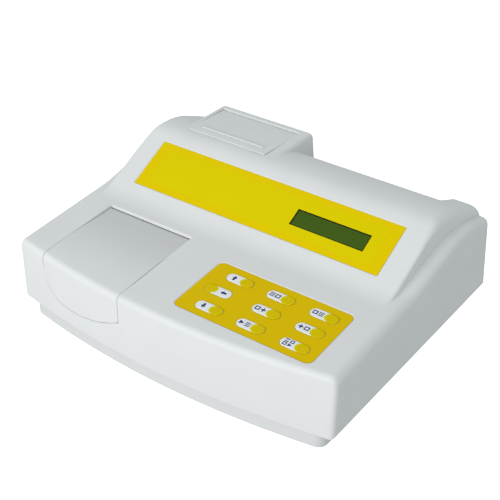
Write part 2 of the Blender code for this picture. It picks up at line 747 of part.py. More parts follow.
def cell_block(plastic):
    """Black optical block: the well for the sample vial and three light bores into it."""
    x, y = WELL
    low = (x - BLOCK_HALF, y - BLOCK_HALF, FOOT_HEIGHT + TRAY_WALL + GAP)
    cell = add("cell_block", block(low, (x + BLOCK_HALF, y + BLOCK_HALF, BLOCK_TOP)), plastic)
    cut(cell, rod("Z", (x, y, WELL_FLOOR), 0.2, WELL_RADIUS, 32))
    past, inside = BLOCK_HALF + 0.01, WELL_RADIUS / 2
    cut(cell, rod("X", (x - past, y, LIGHT_HEIGHT), x - inside, LAMP_BORE, 16))
    cut(cell, rod("X", (x + inside, y, LIGHT_HEIGHT), x + past, DETECTOR_BORE, 16))
    cut(cell, rod("Y", (x, y + inside, LIGHT_HEIGHT), y + past, DETECTOR_BORE, 16))


def optics(plastic, glass, metal, board):
    x, y = WELL
    left = x - BLOCK_HALF - GAP
    length, half, above = HOLDER
    low = (left - length, y - half, FOOT_HEIGHT + TRAY_WALL + GAP)
    holder = add("lamp_holder", block(low, (left, y + half, LIGHT_HEIGHT + above)), plastic)
    cut(holder, rod("X", (left - 0.03, y, LIGHT_HEIGHT), left + 0.01, LAMP[1], 16))
    end = left - 0.002
    add("lamp", rod("X", (end - 0.010, y, LIGHT_HEIGHT), end, LAMP[0], 16), glass)
    near, far = LENS_SPAN
    add("lens", rod("X", (x - far, y, LIGHT_HEIGHT), x - near, LAMP_BORE - 0.0004, 16), glass)
    can = rod("X", (x + CAN_START, y, LIGHT_HEIGHT), x + BLOCK_HALF, CAN_RADIUS, 16)
    add("detector", can, metal)
    can = rod("Y", (x, y + CAN_START, LIGHT_HEIGHT), y + BLOCK_HALF, CAN_RADIUS, 16)
    add("scatter_detector", can, metal)
    right = x + BLOCK_HALF + GAP
    half = 0.012
    low = (right, y - half, LIGHT_HEIGHT - half)
    high = (right + BOARD_THICK, y + half, LIGHT_HEIGHT + half)
    add("detector_board", block(low, high), board)


# ---- display ------------------------------------------------------------------------------

def window_block(margin, low, high):
    """A block round the display window, in the panel's own coordinates."""
    x0, x1, v0, v1 = WINDOW
    return block((x0 - margin, v0 - margin, low), (x1 + margin, v1 + margin, high))


def display(film, glass, metal, board):
    outline = rounded_box((0, PANEL_LENGTH / 2), (PANEL_WIDTH, PANEL_LENGTH), 0.001, 1)
    overlay = add("display_overlay", extruded(outline, GAP - OVERLAY_RECESS, OVERLAY_TOP), film)
    cut(overlay, window_block(0, -0.01, 0.01))
    place(overlay, PANEL_FRAME)
    place(add("lcd_glass", window_block(*LCD_GLASS), glass), PANEL_FRAME)
    frame = add("lcd_frame", window_block(*LCD_FRAME), metal)
    cut(frame, window_block(WINDOW_MARGIN, -0.02, 0.01))
    place(frame, PANEL_FRAME)
    place(add("lcd_board", window_block(*LCD_BOARD), board), PANEL_FRAME)


# ---- keypad -------------------------------------------------------------------------------

def key_places():
    """Each key's name, x, and distance up the deck."""
    places = []
    for names, v in zip(KEY_NAMES, KEY_ROWS):
        for name, x in zip(names, KEY_COLUMNS):
            places.append((name, x + KEY_LEFT_SHIFT * (name == "key_left"), v))
    return places


def stadium(centre, size, grow=0.0):
    size = (size[0] + 2 * grow, size[1] + 2 * grow)
    return rounded_box(centre, size, size[1] / 2 - 0.00005, 5)


def keypad(film, board):
    outline = rounded_box(KEYPAD_CENTRE, KEYPAD_SIZE, KEYPAD_CORNER, 5)
    overlay = add("keypad_overlay", extruded(outline, GAP - OVERLAY_RECESS, OVERLAY_TOP), film)
    for _, x, v in key_places():
        cut(overlay, extruded(stadium((x, v), KEY_SIZE, KEY_SLACK), -0.01, 0.01))
    place(overlay, DECK_FRAME)
    x, v = KEYPAD_CENTRE
    width, length, top = KEYPAD_BOARD
    low = (x - width / 2, v - length / 2, top - BOARD_THICK)
    place(add("keypad_board", block(low, (x + width / 2, v + length / 2, top)), board), DECK_FRAME)


def key(name, x, v, film):
    """Embossed cap with a stem that reaches through the deck to its switch."""
    cap = add(name, extruded(stadium((0, 0), KEY_SIZE), KEY_BOTTOM, KEY_TOP), film)
    join(cap, rod("Z", (0, 0, KEY_STEM[1]), 0, KEY_STEM[0], 10))
    place(cap, DECK_FRAME @ Matrix.Translation((x, v, 0)))


# ---- printer ------------------------------------------------------------------------------

def door_loop(x):
    _, axis_y, axis_z = door_axis()
    front = DOOR_FRONT
    rise = CREST + DOOR_RISE

    def top(y):
        return rise + (axis_z + DOOR_BARREL - rise) * (y - front) / (axis_y - front)

    points = [(front, top(front) - DOOR_THICK), (front, top(front) - 0.0004)]
    points += [(front + 0.0004, top(front))]
    for i in range(6):
        angle = math.pi / 2 - math.pi * i / 5
        y = axis_y + DOOR_BARREL * math.cos(angle)
        points.append((y, axis_z + DOOR_BARREL * math.sin(angle)))
    points.append((axis_y - 0.004, top(axis_y - 0.004) - DOOR_THICK))
    return [(x, y, z) for y, z in points]


def printer_door(plastic):
    door = add("printer_door", lofted([door_loop(x) for x in DOOR]), plastic)
    left, right = DOOR[0] + SLOT_MARGIN[0], DOOR[1] - SLOT_MARGIN[1]
    setback, width, rise = TEAR_BAR
    y = DOOR_FRONT + setback
    join(door, block((left, y, CREST - 0.001), (right, y + width, CREST + rise)))
    cut(door, block((left, y + PAPER_SLOT[0], 0.12), (right, y + PAPER_SLOT[1], 0.2)))
    axis = door_axis()
    cut(door, rod("X", (-0.2, *axis[1:]), 0.0, PIN_RADIUS + PIN_CLEARANCE, 12))
    hang_on(door, ((DOOR[0] + DOOR[1]) / 2, *axis[1:]))


def printer_frame(plastic):
    """Open bay for the paper roll, with holes for the platen, the motor and the spindle."""
    low, high = BAY
    bay = add("printer_frame", block(low, high), plastic)
    inner = [coordinate + BAY_WALL for coordinate in low]
    cut(bay, block(inner, (high[0] - BAY_WALL, high[1] - BAY_WALL, 0.2)))
    cut(bay, block((-0.2, *BAY_BACK), (0.0, 0.2, 0.2)))
    cut(bay, rod("X", (-0.2, *PLATEN), 0.0, SHAFT[1], 12))
    cut(bay, rod("X", (-0.2, *ROLL), 0.0, SPINDLE[1], 16))
    cut(bay, rod("X", (MOTOR_BODY[1], *MOTOR), 0.0, SHAFT[1], 12))


def paper_roll(paper, plastic):
    roll = add("paper_roll", rod("X", (ROLL_SPAN[0], *ROLL), ROLL_SPAN[1], ROLL_RADIUS, 36), paper)
    cut(roll, rod("X", (-0.2, *ROLL), 0.0, SPINDLE[2], 20))
    hang_on(roll, (sum(ROLL_SPAN) / 2, *ROLL))
    start, end = BAY[0][0] - 0.0005, BAY[1][0] + 0.0005
    add("paper_spindle", rod("X", (start, *ROLL), end, SPINDLE[0], 16), plastic)


def print_head(metal):
    y, z = PLATEN
    left, right = PLATEN_SPAN[0] - 0.001, PLATEN_SPAN[1] + 0.001
    near = y - PLATEN_RADIUS - 0.0005
    add("print_head", block((left, near - 0.0035, z - 0.010), (right, near, z + 0.003)), metal)


def platen_roller(rubber):
    start = (PLATEN_SPAN[0], *PLATEN)
    roller = add("platen_roller", rod("X", start, PLATEN_SPAN[1], PLATEN_RADIUS, 20), rubber)
    start = (BAY[0][0] - 0.001, *PLATEN)
    join(roller, rod("X", start, GEAR_SPAN[1] + 0.0005, SHAFT[0], 12))
    hang_on(roller, (sum(PLATEN_SPAN) / 2, *PLATEN))


def gear_outline(teeth, start_angle):
    """Straight-sided teeth, slim enough to run freely in mesh."""
    pitch_radius = TOOTH_MODULE * teeth / 2
    root = pitch_radius - 1.25 * TOOTH_MODULE
    tip = pitch_radius + 0.80 * TOOTH_MODULE
    step = 2 * math.pi / teeth
    outline = []
    for i in range(teeth):
        middle = start_angle + i * step
        for share, radius in ((-0.26, root), (-0.11, tip), (0.11, tip), (0.26, root)):
            angle = middle + share * step
            outline.append((radius * math.cos(angle), radius * math.sin(angle)))
    return outline


def spur_gear(name, teeth, centre, start_angle, bore, plastic):
    outline = [(centre[0] + a, centre[1] + b) for a, b in gear_outline(teeth, start_angle)]
    gear = add(name, extruded(outline, *GEAR_SPAN, "YZ"), plastic)
    cut(gear, rod("X", (MOTOR_BODY[1], *centre), 0.0, bore, 12))
    hang_on(gear, (sum(GEAR_SPAN) / 2, *centre))


def printer_drive(plastic, metal):
    down = -math.pi / 2
    spur_gear("platen_gear", PLATEN_TEETH, PLATEN, down, SHAFT[1], plastic)
    up = math.pi / 2 + math.pi / MOTOR_TEETH
    spur_gear("motor_gear", MOTOR_TEETH, MOTOR, up, MOTOR_GEAR_BORE, plastic)
    radius, start, end = MOTOR_BODY
    motor = add("printer_motor", rod("X", (start, *MOTOR), end, radius, 24), metal)
    join(motor, rod("X", (end - 0.002, *MOTOR), GEAR_SPAN[1], MOTOR_SHAFT, 12))


# ---- connectors and power -----------------------------------------------------------------

def rear_panel(metal):
    low = (PANEL_LOW[0], RECESS_FACE + GAP, PANEL_LOW[1])
    plate = add("rear_panel", block(low, (PANEL_HIGH[0], PANEL_FACE, PANEL_HIGH[1])), metal)
    for (x, z), body in ((INLET, INLET_BODY), (SWITCH, SWITCH_BODY), (SERIAL, SERIAL_BODY)):
        half_x, half_z = body[0] / 2 + BODY_SLACK, body[1] / 2 + BODY_SLACK
        cut(plate, block((x - half_x, 0.09, z - half_z), (x + half_x, 0.12, z + half_z)))
    cut(plate, rod("Y", (FUSE[0], 0.09, FUSE[1]), 0.12, FUSE_BODY + BODY_SLACK, 20))
    for x in PANEL_SCREWS:
        cut(plate, rod("Y", (x, 0.09, PANEL_SCREW_HEIGHT), 0.12, PILOT[0], 12))


def panel_screw(name, x, steel):
    z = PANEL_SCREW_HEIGHT
    screw = add(name, rod("Y", (x, SEAT, z), SEAT + 0.0019, 0.0028, 12), steel)
    tip = (x, RECESS_FACE - PANEL_SCREW_DEPTH, z)
    join(screw, rod("Y", tip, SEAT + 0.001, SCREW_SHANK[0], 12))
    cut(screw, block((x - 0.004, SEAT + 0.0011, z - 0.0004), (x + 0.004, 0.12, z + 0.0004)))


def panel_part(name, centre, flange, body, depth, mat, proud=0.0022):
    """A connector's flange outside the rear panel and its body inside, as one solid."""
    x, z = centre
    low = (x - flange[0] / 2, SEAT, z - flange[1] / 2)
    part = add(name, block(low, (x + flange[0] / 2, SEAT + proud, z + flange[1] / 2)), mat)
    low = (x - body[0] / 2, SEAT - depth, z - body[1] / 2)
    join(part, block(low, (x + body[0] / 2, SEAT + proud / 2, z + body[1] / 2)))
    return part


def hollow_out(part, centre, mouth, depth):
    """Cuts a rectangular mouth this deep below the connectors' seat."""
    x, z = centre
    low = (x - mouth[0] / 2, SEAT - depth, z - mouth[1] / 2)
    cut(part, block(low, (x + mouth[0] / 2, 0.12, z + mouth[1] / 2)))


def power_inlet(plastic):
    """Three-pin appliance inlet: a hollow shell with its contact pins."""
    x, z = INLET
    inlet = panel_part("power_inlet", INLET, (0.031, 0.024), INLET_BODY, 0.020, plastic)
    hollow_out(inlet, INLET, INLET_MOUTH, 0.015)
    for across, up in ((-0.007, -0.002), (0, 0.002), (0.007, -0.002)):
        low = (x + across - 0.001, SEAT - 0.017, z + up - 0.002)
        join(inlet, block(low, (x + across + 0.001, SEAT - 0.003, z + up + 0.002)))


def rocker_outline():
    """The rocker seen along its pivot, tipped to its off side."""
    half = ROCKER_HALF
    level = [(-half, 0.0024), (0, 0.0012), (half, 0.0024), (half - 0.0004, -0.0014),
             (0.0015, -0.0045), (-0.0015, -0.0045), (-half + 0.0004, -0.0014)]
    tip = Matrix.Rotation(ROCKER_TILT, 2)
    return [tuple(tip @ Vector(point) + Vector(ROCKER_AXIS[:2])) for point in level]


def power_switch(plastic):
    frame = panel_part("switch_frame", SWITCH, (0.023, 0.016), SWITCH_BODY, 0.016, plastic)
    hollow_out(frame, SWITCH, SWITCH_MOUTH, 0.0065)
    half = SWITCH_MOUTH[1] / 2 - 0.0004
    rocker = extruded(rocker_outline(), SWITCH[1] - half, SWITCH[1] + half)
    hang_on(add("power_switch", rocker, plastic), ROCKER_AXIS)


def fuse_holder(plastic):
    x, z = FUSE
    holder = add("fuse_holder", rod("Y", (x, SEAT, z), SEAT + 0.0025, 0.0082, 24), plastic)
    join(holder, rod("Y", (x, SEAT - 0.022, z), SEAT + 0.001, FUSE_BODY, 20))
    cut(holder, rod("Y", (x, SEAT - 0.020, z), 0.13, 0.0046, 16))
    pivot = (x, SEAT + 0.0028, z)
    cap = add("fuse_cap", rod("Y", pivot, SEAT + 0.0068, 0.0066, 20), plastic)
    join(cap, rod("Y", (x, SEAT - 0.018, z), SEAT + 0.004, 0.0043, 16))
    cut(cap, block((x - 0.0050, SEAT + 0.0053, z - 0.0006), (x + 0.0050, 0.13, z + 0.0006)))
    hang_on(cap, pivot)


def d_outline(inset):
    """The nine-pin connector's D shape."""
    x, z = SERIAL
    top, bottom, half = 0.0085 - inset, 0.0072 - inset, 0.0040 - inset
    return [(x - top, z + half), (x + top, z + half), (x + bottom, z - half), (x - bottom, z - half)]


def serial_port(metal):
    port = panel_part("serial_port", SERIAL, (0.0308, 0.0125), SERIAL_BODY, 0.010, metal, 0.001)
    join(port, extruded(d_outline(0), SEAT + 0.0005, SEAT + 0.0065, "XZ"))
    cut(port, extruded(d_outline(0.0006), SEAT - 0.002, 0.12, "XZ"))


def electronics(board, metal):
    low = (*BOARD_LOW, BOARD_BOTTOM)
    add("main_board", block(low, (*BOARD_HIGH, BOARD_BOTTOM + BOARD_THICK)), board)
    floor = FOOT_HEIGHT + TRAY_WALL + GAP
    core = add("transformer", block((0.052, 0.026, floor), (0.112, 0.074, 0.050)), metal)
    winding = block((0.060, 0.018, floor + 0.008), (0.104, 0.082, 0.042))
    join(core, winding)


# ---- assembly -----------------------------------------------------------------------------

def build():
    clear_scene()
    white = material("casing_white", (0.80, 0.81, 0.80), 0.45)
    black = material("black_plastic", (0.02, 0.02, 0.02), 0.5)
    grey = material("grey_plastic", (0.25, 0.26, 0.27), 0.5)
    rubber = material("rubber", (0.03, 0.03, 0.03), 0.8)
    steel = material("steel", (0.60, 0.60, 0.62), 0.3, 1.0)
    plate = material("plate_metal", (0.55, 0.56, 0.58), 0.4, 1.0)
    film = material("overlay_yellow", (0.72, 0.58, 0.0), 0.4)
    caps = material("key_film", (0.78, 0.72, 0.10), 0.4)
    green = material("lcd_green", (0.06, 0.10, 0.015), 0.2)
    glass = material("clear_glass", (0.85, 0.88, 0.90), 0.05)
    board = material("circuit_board", (0.03, 0.18, 0.07), 0.5)
    paper = material("paper", (0.85, 0.85, 0.83), 0.7)

    upper_casing(white)
    lower_casing(white)
    feet(rubber)
    for number, (x, y) in enumerate(SCREW_POSTS, 1):
        case_screw(f"case_screw_{number}", x, y, steel)

    sample_lid(white)
    hinge_pin("lid_hinge_pin", lid_axis(), LID, LID_PIN_REACH, steel)
    sample_compartment(black)
    well_collar(grey)
    cell_block(black)
    optics(black, glass, steel, board)

    display(film, green, plate, board)
    keypad(film, board)
    for name, x, v in key_places():
        key(name, x, v, caps)

    printer_door(white)
    hinge_pin("door_hinge_pin", door_axis(), DOOR, DOOR_PIN_REACH, steel)
    printer_frame(grey)
    paper_roll(paper, grey)
    print_head(plate)
    platen_roller(rubber)
    printer_drive(grey, plate)

    rear_panel(plate)
    for number, x in enumerate(PANEL_SCREWS, 1):
        panel_screw(f"panel_screw_{number}", x, steel)
    power_inlet(black)
    power_switch(black)
    fuse_holder(black)
    serial_port(plate)
    electronics(board, plate)


build()
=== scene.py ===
"""Looks of the digital water tester: fine shells, printed films, keys, display, printer and
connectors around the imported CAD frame, in metres, +X right, +Y back, +Z up."""

import json
import math

import bmesh
import bpy
from mathutils import Matrix, Vector


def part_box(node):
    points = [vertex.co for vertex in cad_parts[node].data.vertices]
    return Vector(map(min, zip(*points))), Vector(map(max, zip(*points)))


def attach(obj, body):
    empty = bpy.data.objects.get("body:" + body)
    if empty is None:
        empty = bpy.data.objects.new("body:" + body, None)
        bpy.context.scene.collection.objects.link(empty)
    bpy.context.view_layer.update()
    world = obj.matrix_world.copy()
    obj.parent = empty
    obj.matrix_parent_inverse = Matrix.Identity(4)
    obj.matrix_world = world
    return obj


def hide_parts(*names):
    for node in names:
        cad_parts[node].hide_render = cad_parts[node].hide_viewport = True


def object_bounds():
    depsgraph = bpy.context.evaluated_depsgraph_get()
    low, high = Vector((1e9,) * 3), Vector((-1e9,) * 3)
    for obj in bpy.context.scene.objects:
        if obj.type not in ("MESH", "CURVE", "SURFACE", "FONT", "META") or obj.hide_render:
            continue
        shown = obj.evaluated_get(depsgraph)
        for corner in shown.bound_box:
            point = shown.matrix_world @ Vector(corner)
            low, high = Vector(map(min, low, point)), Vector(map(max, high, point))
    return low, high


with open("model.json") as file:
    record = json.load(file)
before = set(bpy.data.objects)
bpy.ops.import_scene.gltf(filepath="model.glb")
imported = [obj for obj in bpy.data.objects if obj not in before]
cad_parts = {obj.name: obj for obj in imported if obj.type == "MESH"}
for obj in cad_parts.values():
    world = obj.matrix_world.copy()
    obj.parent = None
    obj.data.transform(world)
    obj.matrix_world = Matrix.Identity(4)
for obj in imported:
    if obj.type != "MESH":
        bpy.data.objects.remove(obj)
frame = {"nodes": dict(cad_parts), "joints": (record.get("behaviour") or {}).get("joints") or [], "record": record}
cad_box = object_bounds()
JOINTS = {joint["name"]: joint for joint in frame["joints"]}


# ---- sizes, read from the frame where it has them -----------------------------------------

def span(name, axis):
    """The lowest and the highest coordinate of a CAD node along one axis."""
    low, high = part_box(name)
    return low["xyz".index(axis)], high["xyz".index(axis)]


HALF_WIDTH = cad_box[1].x
BOW = 0.018                     # how far the front bulges forward at its middle
FRONT = cad_box[0].y + BOW
REAR = cad_box[1].y
REAR_LEAN = 0.15
WALL = 0.003
GAP = 0.0003

FOOT_HEIGHT = span("lower_casing", "z")[0]
TRAY_TOP = span("upper_casing", "z")[0]
TRAY_SIDE = span("lower_casing", "x")[1]
TRAY_INSET = 0.005
TRAY_CORNER = 0.010
TRAY_EDGE = 0.0025              # radius along the tray's lower edge
TRAY_WALL = 0.0025
TRAY_RIM = 0.0003               # bevel along the tray's upper rim
SCREW_HOLE = (0.0034, 0.0020)   # radius and depth of a counterbore under the tray

DECK_HEIGHT = 0.088
DECK_SLOPE = 0.077
AHEAD = -0.3                    # y of a point well in front of the casing
HIGH = 0.2                      # z of a point well above it; as y, it lies well behind
PANEL_SLOPE = 0.523
PANEL_FOOT = (-0.0098, 0.1054)
PANEL_SIZE = (0.2818, 0.0560)
CREST = 0.1384
CREST_BACK = 0.0845
REAR_SLOPE = -0.42
HUMP_SIDE = 0.1655
HUMP_FLARE = 0.0035             # the hump is this much wider at each side by its rear end
HUMP_EDGE = (0.003, 0.009)      # radius along the ends of the hump, at its foot and its crest
HUMP_EDGE_GROWS = (0.020, 0.070)
FLARE_GROWS = (0.030, 0.120)
FLARE_INNER = 0.148
SHOULDER = 0.009
FRONT_EDGE = 0.0055
LOWER_EDGE = 0.0020             # radius along the casing's lower front edge
LOWER_EDGE_STEPS = 5
REAR_EDGE = 0.003
REAR_EDGE_ROW = 0.130           # y at which the rear edge's height is read
REAR_CORNER = 0.003
CORNER = 0.004
WALL_STEP = 0.00012             # width over which an upright wall on top drops to the deck
UNDERSIDE = 0.163               # half the width of the opening in the casing's underside

PRINTER = (-0.137, -0.022)      # left and right side of the printer block
PRINTER_EDGE = 0.004
PRINTER_FRONT = 0.0625
RECESS = (-0.0215, 0.142)       # left and right side of the connector recess
RECESS_FACE = 0.1045
RECESS_FLOOR = 0.034
CONNECTOR_WINDOW = (0.0, 0.130, 0.052, 0.108)   # x and z range of the hole in that recess

LID = span("sample_lid", "x")
LID_AXIS = JOINTS["lid_hinge"]["pos_m"][1:]
LID_THICK = 0.0025
LID_BARREL = 0.0018
LID_DIP_START = -0.105
LID_DIP = 0.0022                # how far the lid sinks below the deck by its hinge
LID_UNDERSIDE = (-0.051, -0.120)
LID_GAP = 0.0005
LID_BEVEL = (0.0004, 0.0007)    # round the lid's opening: along its sides, along its rear
LID_LOW_X = -0.103              # where the folded front edge reaches lowest
LID_LOW = 0.041
LID_SIDE_TOP = 0.076
LID_RIGHT_RISE = 0.0175
LID_ROUNDNESS = 2.4             # exponent of the curve at the fold's left end

DOOR = span("printer_door", "x")
DOOR_FRONT = span("printer_door", "y")[0]
DOOR_AXIS = JOINTS["door_hinge"]["pos_m"][1:]
DOOR_THICK = 0.0025
DOOR_BARREL = 0.0016
DOOR_RISE = 0.0008
DOOR_HEEL = 0.004               # from the hinge axis forward to the end of the flat underside
DOOR_BEVEL = 0.0004             # round the door's opening and along the door's ends
TEAR_BAR = (0.0115, 0.0125)     # from the door's front to the bar's two sides
TEAR_BAR_RISE = 0.0013
PAPER_SLOT = (0.0126, 0.0144)   # from the door's front to the slot's two sides
SLOT_ENDS = (0.0100, 0.0095)    # from the door's left and right end to the slot's

KEYPAD_CORNER = 0.006
KEY_SIZE = (0.0280, 0.0110)
KEY_BOTTOM = -0.00040
KEY_TOP = 0.00025
KEY_CLEARANCE = 0.0004
MARK_CENTRE = 0.0062            # from the key's middle to the middle of its white end
MARK_DEPTH = (0.0001, 0.00002)  # how far the ink reaches below and above the key's top
OVERLAY_RECESS = 0.0010
OVERLAY_TOP = -0.0003
OVERLAY_RIM = 0.0007            # bevel round each recess
WINDOW = (0.0361, 0.1161, 0.0175, 0.0362)   # of the display: its range in the panel's x and y
FIELD_MARGIN = (0.0120, 0.0070)             # width of the panel's darker printed border
FIELD_LINE = 0.00035                        # half the width of the line moulded along it
LCD_LAP = 0.0006                            # how far the glass reaches past the window
LCD_DEPTH = (-0.0050, -0.0012)
LCD_BORDER = 0.0012                         # width of the display's black edge
LCD_CELL = (0.0037, 0.0070, 0.00035)        # width and height of a character cell, and its gap


# ---- small helpers ------------------------------------------------------------------------

def plane_frame(y, z, slope):
    return Matrix.Translation((0, y, z)) @ Matrix.Rotation(math.atan(slope), 4, "X")


PANEL_FRAME = plane_frame(*PANEL_FOOT, PANEL_SLOPE)
DECK_FRAME = plane_frame(FRONT, DECK_HEIGHT, DECK_SLOPE)


def to_object(name, bm, mat, place=None, sharp=32):
    """Makes an object from a bmesh, smooth except at edges sharper than the given angle."""
    bmesh.ops.recalc_face_normals(bm, faces=bm.faces)
    mesh = bpy.data.meshes.new(name)
    bm.to_mesh(mesh)
    bm.free()
    obj = bpy.data.objects.new(name, mesh)
    bpy.context.scene.collection.objects.link(obj)
    sharpen(obj, sharp)
    if mat:
        mesh.materials.append(mat)
    if place:
        obj.matrix_world = place
    return obj


def piece(obj, body, slot, *nodes):
    """Places a finished piece on what it rides on and hides the CAD nodes it stands for; its finish, the slot, is
    not used.
    """
    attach(obj, body)
    if nodes:
        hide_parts(*nodes)


def boolean(obj, cutter, operation="DIFFERENCE", place=None):
    """Cuts the object with a bmesh, or adds the bmesh to it, and keeps the result."""
    helper = to_object("helper", cutter, None, place)
    modifier = obj.modifiers.new("boolean", "BOOLEAN")
    modifier.operation = operation
    modifier.solver = "MANIFOLD"
    modifier.object = helper
    apply_modifiers(obj)
    bpy.data.objects.remove(helper)


def apply_modifiers(obj):
    graph = bpy.context.evaluated_depsgraph_get()
    mesh = bpy.data.meshes.new_from_object(obj.evaluated_get(graph))
    obj.modifiers.clear()
    obj.data = mesh


def soften(obj, width, angle=40):
    """Rounds every edge sharper than the given angle."""
    bevel = obj.modifiers.new("edges", "BEVEL")
    bevel.width = width
    bevel.segments = 2
    bevel.limit_method = "ANGLE"
    bevel.angle_limit = math.radians(angle)
    bevel.harden_normals = True


def sharpen(obj, angle):
    """Shades the object smooth, except at edges sharper than the given angle."""
    obj.data.shade_smooth()
    obj.data.set_sharp_from_angle(angle=math.radians(angle))


def block(low, high):
    bm = bmesh.new()
    size = [b - a for a, b in zip(low, high)]
    middle = [(a + b) / 2 for a, b in zip(low, high)]
    bmesh.ops.create_cube(
        bm, size=1, matrix=Matrix.Translation(middle) @ Matrix.Diagonal((*size, 1))
    )
    return bm


def at_height(outline, z):
    return [(x, y, z) for x, y in outline]


def bridged(loops, holed=False, into=None):
    """A closed solid through loops that all have the same number of points.

    It is capped at both ends, or has a hole where the last loop joins back to the first.
    """
    bm = into or bmesh.new()
    rings = [[bm.verts.new(point) for point in loop] for loop in loops]
    for near, far in zip(rings, rings[1:] + rings[:1] if holed else rings[1:]):
        for i in range(len(near)):
            j = (i + 1) % len(near)
            bm.faces.new((near[i], near[j], far[j], far[i]))
    if not holed:
        bm.faces.new(rings[0])
        bm.faces.new(rings[-1])
    return bm


def turned(profile, centre, sides):
    """A solid of revolution about an upright axis, from (radius, height) points."""
    loops = []
    for radius, height in profile:
        angles = [2 * math.pi * i / sides for i in range(sides)]
        loops.append([(centre[0] + radius * math.cos(a), centre[1] + radius * math.sin(a), height)
                      for a in angles])
    return bridged(loops)


def node_centre(name):
    low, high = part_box(name)
    return (low.x + high.x) / 2, (low.y + high.y) / 2


def rounded_path(corners, radii, steps):
    """An open path of (a, b) points whose inner corners are arcs of the given radii."""
    path = [corners[0]]
    for before, corner, after, radius in zip(corners, corners[1:], corners[2:], radii):
        here = Vector(corner)
        back = (Vector(before) - here).normalized()
        on = (Vector(after) - here).normalized()
        half = back.angle(on) / 2
        middle = here + (back + on).normalized() * radius / math.sin(half)
        first = here + back * radius / math.tan(half) - middle
        last = here + on * radius / math.tan(half) - middle
        for i in range(steps + 1):
            path.append(tuple(middle + first.slerp(last, i / steps).normalized() * radius))
    path.append(corners[-1])
    return path


def rounded_box(centre, size, radius, steps=6):
    """The outline of a rectangle with round corners."""
    half_x, half_y = size[0] / 2 - radius, size[1] / 2 - radius
    outline = []
    for turn, (sx, sy) in enumerate([(1, 1), (-1, 1), (-1, -1), (1, -1)]):
        for i in range(steps + 1):
            angle = (turn + i / steps) * math.pi / 2
            x = centre[0] + sx * half_x + radius * math.cos(angle)
            y = centre[1] + sy * half_y + radius * math.sin(angle)
            outline.append((x, y))
    return outline


def height_on(path, y):
    """Height of a path of (y, z) points at y."""
    for (y0, z0), (y1, z1) in zip(path, path[1:]):
        if y <= y1:
            return z0 + (z1 - z0) * (y - y0) / (y1 - y0)
    return path[-1][1]


def quarter(steps):
    """Sine and cosine of evenly spaced angles from 0 to 90 degrees."""
    angles = [math.pi / 2 * i / steps for i in range(steps + 1)]
    return [(math.sin(a), math.cos(a)) for a in angles]


def arc_drop(distance, radius):
    """How far a quarter-round edge has dropped at a distance from where it starts."""
    reach = min(max(distance, 0), radius)
    return radius - math.sqrt(radius ** 2 - reach ** 2)


def smooth_step(value):
    t = min(max(value, 0), 1)
    return t * t * (3 - 2 * t)


def spread(start, end, count):
    """Evenly spaced numbers from start to end, in count steps."""
    return [start + (end - start) * i / count for i in range(count + 1)]


# ---- materials ----------------------------------------------------------------------------

CASING_WHITE = (0.72, 0.725, 0.722)
CASING_GLOSS = 0.50
LID_PAINTED_SHADE = 0.80                # painted shade: share of the casing's white that the lid is painted at the lid's hinge
# painted shade: the tray is drawn at this share of the casing's white, standing in for the shade under the
# casing's overhang
TRAY_PAINTED_SHADE = 0.92
YELLOW = (0.720, 0.590, 0.000)
ORANGE_YELLOW = (0.750, 0.565, 0.000)
KEYPAD_YELLOW = (0.740, 0.510, 0.000)
KEY_YELLOW = (0.700, 0.530, 0.000)
KEY_YELLOW_EDGE = (0.680, 0.700, 0.010)
KEY_WHITE = (0.80, 0.82, 0.84)
KEY_ARC_CENTRE = 0.0060         # from the key's middle to the centre of the arc between colours
KEY_ARC = 0.0057
KEY_BLUR = 0.0001               # half the width over which white turns to yellow
KEY_BAND = 0.0022               # width of the bright band inside the arc
KEY_BAND_FADE = (0.0010, -0.0035)   # from the arc's centre, where the band starts and is full
MARK_BLUE = (0.035, 0.035, 0.16)


def shade(color, factor):
    return tuple(min(1, c * factor) for c in color)


def principled(mat):
    return mat.node_tree.nodes["Principled BSDF"]


def new_material(name, color, roughness, metallic=0.0):
    mat = bpy.data.materials.new(name)
    mat.use_nodes = True
    shader = principled(mat)
    shader.inputs["Base Color"].default_value = (*color, 1)
    shader.inputs["Roughness"].default_value = roughness
    shader.inputs["Metallic"].default_value = metallic
    return mat, shader


def node(mat, kind, **values):
    """Adds a shader node and sets its properties or, by name, its inputs."""
    made = mat.node_tree.nodes.new(kind)
    for key, value in values.items():
        if hasattr(made, key):
            setattr(made, key, value)
        else:
            made.inputs[key.replace("_", " ")].default_value = value
    return made


def link(mat, source, target):
    mat.node_tree.links.new(source, target)


def object_point(mat, stretch=(1, 1, 1)):
    """The shaded point in the object's own coordinates, each multiplied by its stretch."""
    coordinates = node(mat, "ShaderNodeTexCoord")
    mapping = node(mat, "ShaderNodeMapping")
    mapping.inputs["Scale"].default_value = stretch
    link(mat, coordinates.outputs["Object"], mapping.inputs["Vector"])
    return mapping.outputs["Vector"]


def noise(mat, scale, detail=2.0, stretch=(1, 1, 1)):
    made = node(mat, "ShaderNodeTexNoise", Scale=scale, Detail=detail)
    link(mat, object_point(mat, stretch), made.inputs["Vector"])
    return made.outputs["Fac"]


def ramp(mat, value, low, high, start, end):
    """Maps a value from low..high to start..end."""
    made = node(mat, "ShaderNodeMapRange")
    for key, number in zip(("From Min", "From Max", "To Min", "To Max"), (low, high, start, end)):
        made.inputs[key].default_value = number
    link(mat, value, made.inputs["Value"])
    return made.outputs["Result"]


def blend_colors(mat, factor, first, second):
    """Mixes two colours; each is a tuple or a socket."""
    made = node(mat, "ShaderNodeMix", data_type="RGBA")
    link(mat, factor, made.inputs["Factor"])
    for key, color in (("A", first), ("B", second)):
        socket = [s for s in made.inputs if s.name == key and s.type == "RGBA"][0]
        if isinstance(color, tuple):
            socket.default_value = (*color, 1)
        else:
            link(mat, color, socket)
    return [s for s in made.outputs if s.type == "RGBA"][0]


